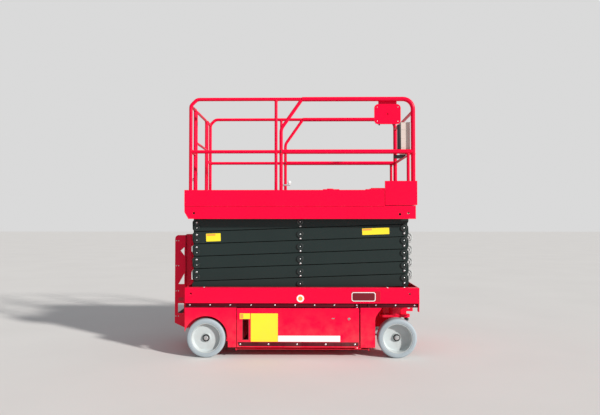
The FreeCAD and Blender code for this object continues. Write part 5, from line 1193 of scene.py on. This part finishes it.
class LIFT_OT_gate_trim(bpy.types.Operator):
    """Adds the gate's spring latch, its pull ring and the nuts of its hinges"""

    bl_idname = "lift.gate_trim"
    bl_label = "Gate trim"

    def execute(self, context):
        x, y, z = GATE_X, -0.276, 1.775
        latch = bmesh.new()
        add_block(latch, (x - 0.019, -0.2885, 1.748), (x + 0.012, -0.262, 1.802), 0.003, 3)
        add_bar(latch, (x - 0.0185, y, z), (x - 0.030, y, z), 0.008, 0.001, sides=20)
        finished("gate_latch_body", latch, "gate", "battery_plastic")
        pull = bmesh.new()
        ring = [(math.sin(turn), math.cos(turn)) for turn in (0.3, 1.3, 2.3, 3.3, 4.3, 5.3, 5.98)]
        add_pipe(pull, [(x - 0.034, y + 0.016 * out, 1.762 + 0.016 * up) for out, up in ring], 0.0022)
        add_bar(pull, (x - 0.029, y, z), (x - 0.037, y, z), 0.0045, 0.0008, sides=16)
        finished("gate_latch_ring", pull, "gate", "bright_steel")
        nuts = bmesh.new()
        acorn = [(0, 0), (0, 0.0085), (0.004, 0.0085), (0.0075, 0.0065), (0.0095, 0.003), (0.010, 0)]
        for hinge_z in (1.690, 2.346):
            add_turned(nuts, (x, 0.301, hinge_z + 0.0085), UP, acorn, 20)
        finished("gate_hinge_nuts", nuts, "platform", "bright_steel")
        return {"FINISHED"}


class LIFT_OT_controls(bpy.types.Operator):
    """Builds the platform controls, the papers' lid and their brackets; the bracket's black upright plate is
    partly painted shade
    """

    bl_idname = "lift.controls"
    bl_label = "Controls"

    def execute(self, context):
        # Top of the controls' housing, and the lines of the joystick and of the switches
        top, y, row = 2.472, -0.466, -0.448
        stick_x, stop_x = 0.992, 0.868
        panel = bmesh.new()
        add_block(panel, (0.839, -0.514, top - 0.0005), (1.047, -0.418, top + 0.005), 0.002, 3)
        boot = [(0, 0), (0, 0.030), (0.004, 0.030), (0.006, 0.026), (0.011, 0.024)]
        boot += [(0.014, 0.026), (0.018, 0.021), (0.022, 0.018), (0.030, 0.008), (0.030, 0)]
        grip = [(0.030, 0), (0.030, 0.0075), (0.036, 0.010), (0.048, 0.0125)]
        grip += [(0.062, 0.0140), (0.070, 0.0125), (0.074, 0)]
        gland = [(0, 0), (0, 0.014), (0.010, 0.013), (0.020, 0.008), (0.026, 0.0065), (0.026, 0)]
        button = [(0, 0), (0, 0.011), (0.009, 0.011), (0.011, 0.0185)]
        button += [(0.018, 0.0190), (0.023, 0.015), (0.025, 0)]
        add_turned(panel, (stick_x, y, top + 0.005), UP, boot, 36)
        add_turned(panel, (stick_x, y, top + 0.005), UP, grip, 28)
        for x in (stop_x, 1.020):
            add_turned(panel, (x, y, 2.3205), (0, 0, -1), gland, 24)
        finished("control_panel", panel, "extension", "battery_plastic")
        stop = bmesh.new()
        add_turned(stop, (stop_x, y, top + 0.010), UP, button, 36)
        finished("stop_button", stop, "extension", "red_knob")
        ring = bmesh.new()
        add_collar(ring, (stop_x, y, top), UP, 0.0115, 0.0235, 0.0045, 0.0105)
        finished("stop_ring", ring, "extension", "yellow_ring")
        screen = bmesh.new()
        add_block(screen, (0.905, -0.504, top + 0.0045), (0.955, -0.484, top + 0.0065), 0.0008)
        finished("panel_screen", screen, "extension", "dark_screen")
        switches = bmesh.new()
        for x in (0.908, 0.930, 0.952):
            add_bar(switches, (x, row, top + 0.0045), (x, row, top + 0.0085), 0.0065, 0.0008, sides=6)
            start, end = (x, row, top + 0.008), (x + 0.004, row, top + 0.025)
            add_bar(switches, start, end, 0.0022, 0.0008, sides=16, tip=0.0034)
        for x, z in ((0.842, 2.326), (1.044, 2.326), (0.842, 2.466), (1.044, 2.466)):
            add_button(switches, (x, -0.525, z), (0, -1, 0), 0.0055, 0.0030)
        finished("panel_switches", switches, "extension", "bright_steel")
        self.papers()
        return {"FINISHED"}

    def papers(self):
        lid = bmesh.new()
        add_block(lid, (1.073, -0.528, 2.3085), (1.167, -0.427, 2.3145), 0.002, 3)
        add_bar(lid, (1.080, -0.428, 2.311), (1.160, -0.428, 2.311), 0.0035, 0.0008, sides=16)
        for z in (2.060, 2.150, 2.240):
            add_block(lid, (1.0755, -0.5262, z), (1.1645, -0.5245, z + 0.003), 0.0008)
        finished("papers_lid", lid, "extension", "frosted_plastic")
        shade_plate_bracket = bmesh.new()
        # Black upright plate beside the papers' lid: a mounting bracket that also stands for the shaded edge
        # of the papers' box, so partly painted shade
        add_block(shade_plate_bracket, (1.038, -0.5245, 2.045), (1.0755, -0.5195, 2.290), 0.0015)
        add_block(shade_plate_bracket, (1.006, -0.5245, 1.955), (1.124, -0.500, 1.9895), 0.003)
        for vert in shade_plate_bracket.verts:
            if vert.co.z < 1.975 and vert.co.x > 1.08:
                vert.co.x -= 0.034
        add_bar(shade_plate_bracket, (1.020, -0.512, 1.985), (1.020, -0.512, 2.000), 0.007, 0.001, sides=6)
        finished("papers_bracket_with_shade_plate", shade_plate_bracket, "extension", "black_paint")


class LIFT_OT_lock_knob(bpy.types.Operator):
    """Puts the white ball on the lock handle of the extension deck"""

    bl_idname = "lift.lock_knob"
    bl_label = "Lock knob"

    def execute(self, context):
        radius = 0.0172
        turns = [math.radians(angle) for angle in range(-60, 91, 15)]
        foot = [(-0.0205, 0), (-0.0205, 0.0085), (-0.0160, 0.0088)]
        ball = bmesh.new()
        profile = foot + [(radius * math.sin(turn), radius * math.cos(turn)) for turn in turns]
        add_turned(ball, (-0.030, -RAIL_Y, 1.716), UP, profile, 32)
        finished("lock_ball", ball, "extension", "white_knob", 50.0)
        collar = bmesh.new()
        add_collar(collar, (-0.094, -RAIL_Y, 1.690), ALONG, 0.0068, 0.0115, -0.002, 0.010)
        finished("lock_collar", collar, "extension", "bright_steel")
        return {"FINISHED"}


class LIFT_OT_stage(bpy.types.Operator):
    """Makes the floor, the light from all round, the sun and the camera"""

    bl_idname = "lift.stage"
    bl_label = "Stage"

    def execute(self, context):
        settings = context.scene.lift_stage
        self.floor(context)
        self.world(context, settings)
        self.sun(context, settings)
        self.camera(context, settings)
        context.scene.view_settings.view_transform = "Standard"
        return {"FINISHED"}

    def place(self, context, name, data):
        """Makes an object of the data, at the origin, and puts it in the scene."""
        made = bpy.data.objects.new(name, data)
        context.scene.collection.objects.link(made)
        return made

    def floor(self, context):
        shape = bmesh.new()
        bmesh.ops.create_grid(shape, x_segments=1, y_segments=1, size=60)
        mesh = bpy.data.meshes.new("floor")
        shape.to_mesh(mesh)
        shape.free()
        tree, shader = finish_base("pale_floor", 0, 0.04)
        cloud = noise(tree, object_places(tree), 0.8, 5.0, 0.5)
        tone = mixed(tree, ramp(tree, cloud, 0.3, 0.7), (0.675, 0.665, 0.65), (0.70, 0.69, 0.675))
        link(tree, shader.inputs, Base_Color=tone)
        shader.inputs["Roughness"].default_value = 0.8
        mesh.materials.append(bpy.data.materials["pale_floor_finish"])
        floor = self.place(context, "floor", mesh)

    def world(self, context, settings):
        """Lights from all round, and shows the camera the floor's own tone."""
        world = bpy.data.worlds.new("soft_world")
        world.use_nodes = True
        tree = world.node_tree
        back = tree.nodes["Background"]
        back.inputs["Color"].default_value = (0.93, 0.95, 1.0, 1)
        back.inputs["Strength"].default_value = settings.sky
        seen = add_node(tree, "ShaderNodeBackground", {"Color": (0.70, 0.70, 0.70), "Strength": 1.0})
        camera_ray = add_node(tree, "ShaderNodeLightPath").outputs["Is Camera Ray"]
        inputs = {0: camera_ray, 1: back.outputs["Background"], 2: seen.outputs["Background"]}
        both = add_node(tree, "ShaderNodeMixShader", inputs).outputs["Shader"]
        link(tree, tree.nodes["World Output"].inputs, Surface=both)
        context.scene.world = world

    def sun(self, context, settings):
        data = bpy.data.lights.new("sun", "SUN")
        data.energy = settings.sun
        data.angle = math.radians(4)
        data.color = (1.0, 0.97, 0.93)
        sun = self.place(context, "sun", data)
        sun.rotation_euler = Vector((-0.78, 0.58, -0.44)).to_track_quat("-Z", "Y").to_euler()

    def camera(self, context, settings):
        data = bpy.data.cameras.new("camera")
        data.lens = settings.lens
        camera = self.place(context, "camera", data)
        camera.location = (settings.camera_x, settings.camera_y, settings.camera_z)
        camera.rotation_euler = (math.radians(90 + settings.pitch), 0, math.radians(settings.turn))
        context.scene.camera = camera


class LIFT_PT_panel(bpy.types.Panel):
    """Lists the steps that dress the scissor lift"""

    bl_idname = "LIFT_PT_panel"
    bl_label = "Scissor lift"
    bl_space_type = "VIEW_3D"
    bl_region_type = "UI"
    bl_category = "Scissor lift"

    def draw(self, context):
        column = self.layout.column()
        for step in STEPS:
            column.operator(step.bl_idname)
        for settings in (context.scene.lift_paint, context.scene.lift_trim, context.scene.lift_stage):
            for name in settings.__annotations__:
                column.prop(settings, name)


STEPS = (
    LIFT_OT_finishes,
    LIFT_OT_tyres,
    LIFT_OT_hubs,
    LIFT_OT_panels,
    LIFT_OT_side_strips,
    LIFT_OT_signs,
    LIFT_OT_tray_locks,
    LIFT_OT_running_gear,
    LIFT_OT_ladder_trim,
    LIFT_OT_pin_locks,
    LIFT_OT_hose_loops,
    LIFT_OT_cylinder_trim,
    LIFT_OT_tray_loads,
    LIFT_OT_rail_trim,
    LIFT_OT_gate_trim,
    LIFT_OT_controls,
    LIFT_OT_lock_knob,
    LIFT_OT_stage,
)
SETTINGS = (("lift_paint", PaintColours), ("lift_trim", TrimSizes), ("lift_stage", StageSettings))


def register():
    for _, group in SETTINGS:
        bpy.utils.register_class(group)
    for item in (*STEPS, LIFT_PT_panel):
        bpy.utils.register_class(item)
    for name, group in SETTINGS:
        setattr(bpy.types.Scene, name, PointerProperty(type=group))


def unregister():
    for name, _ in SETTINGS:
        delattr(bpy.types.Scene, name)
    for item in (LIFT_PT_panel, *reversed(STEPS)):
        bpy.utils.unregister_class(item)
    for _, group in SETTINGS:
        bpy.utils.unregister_class(group)


def main():
    register()
    for step in STEPS:
        group, name = step.bl_idname.split(".")
        getattr(getattr(bpy.ops, group), name)()
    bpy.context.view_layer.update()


if __name__ == "__main__":
    main()
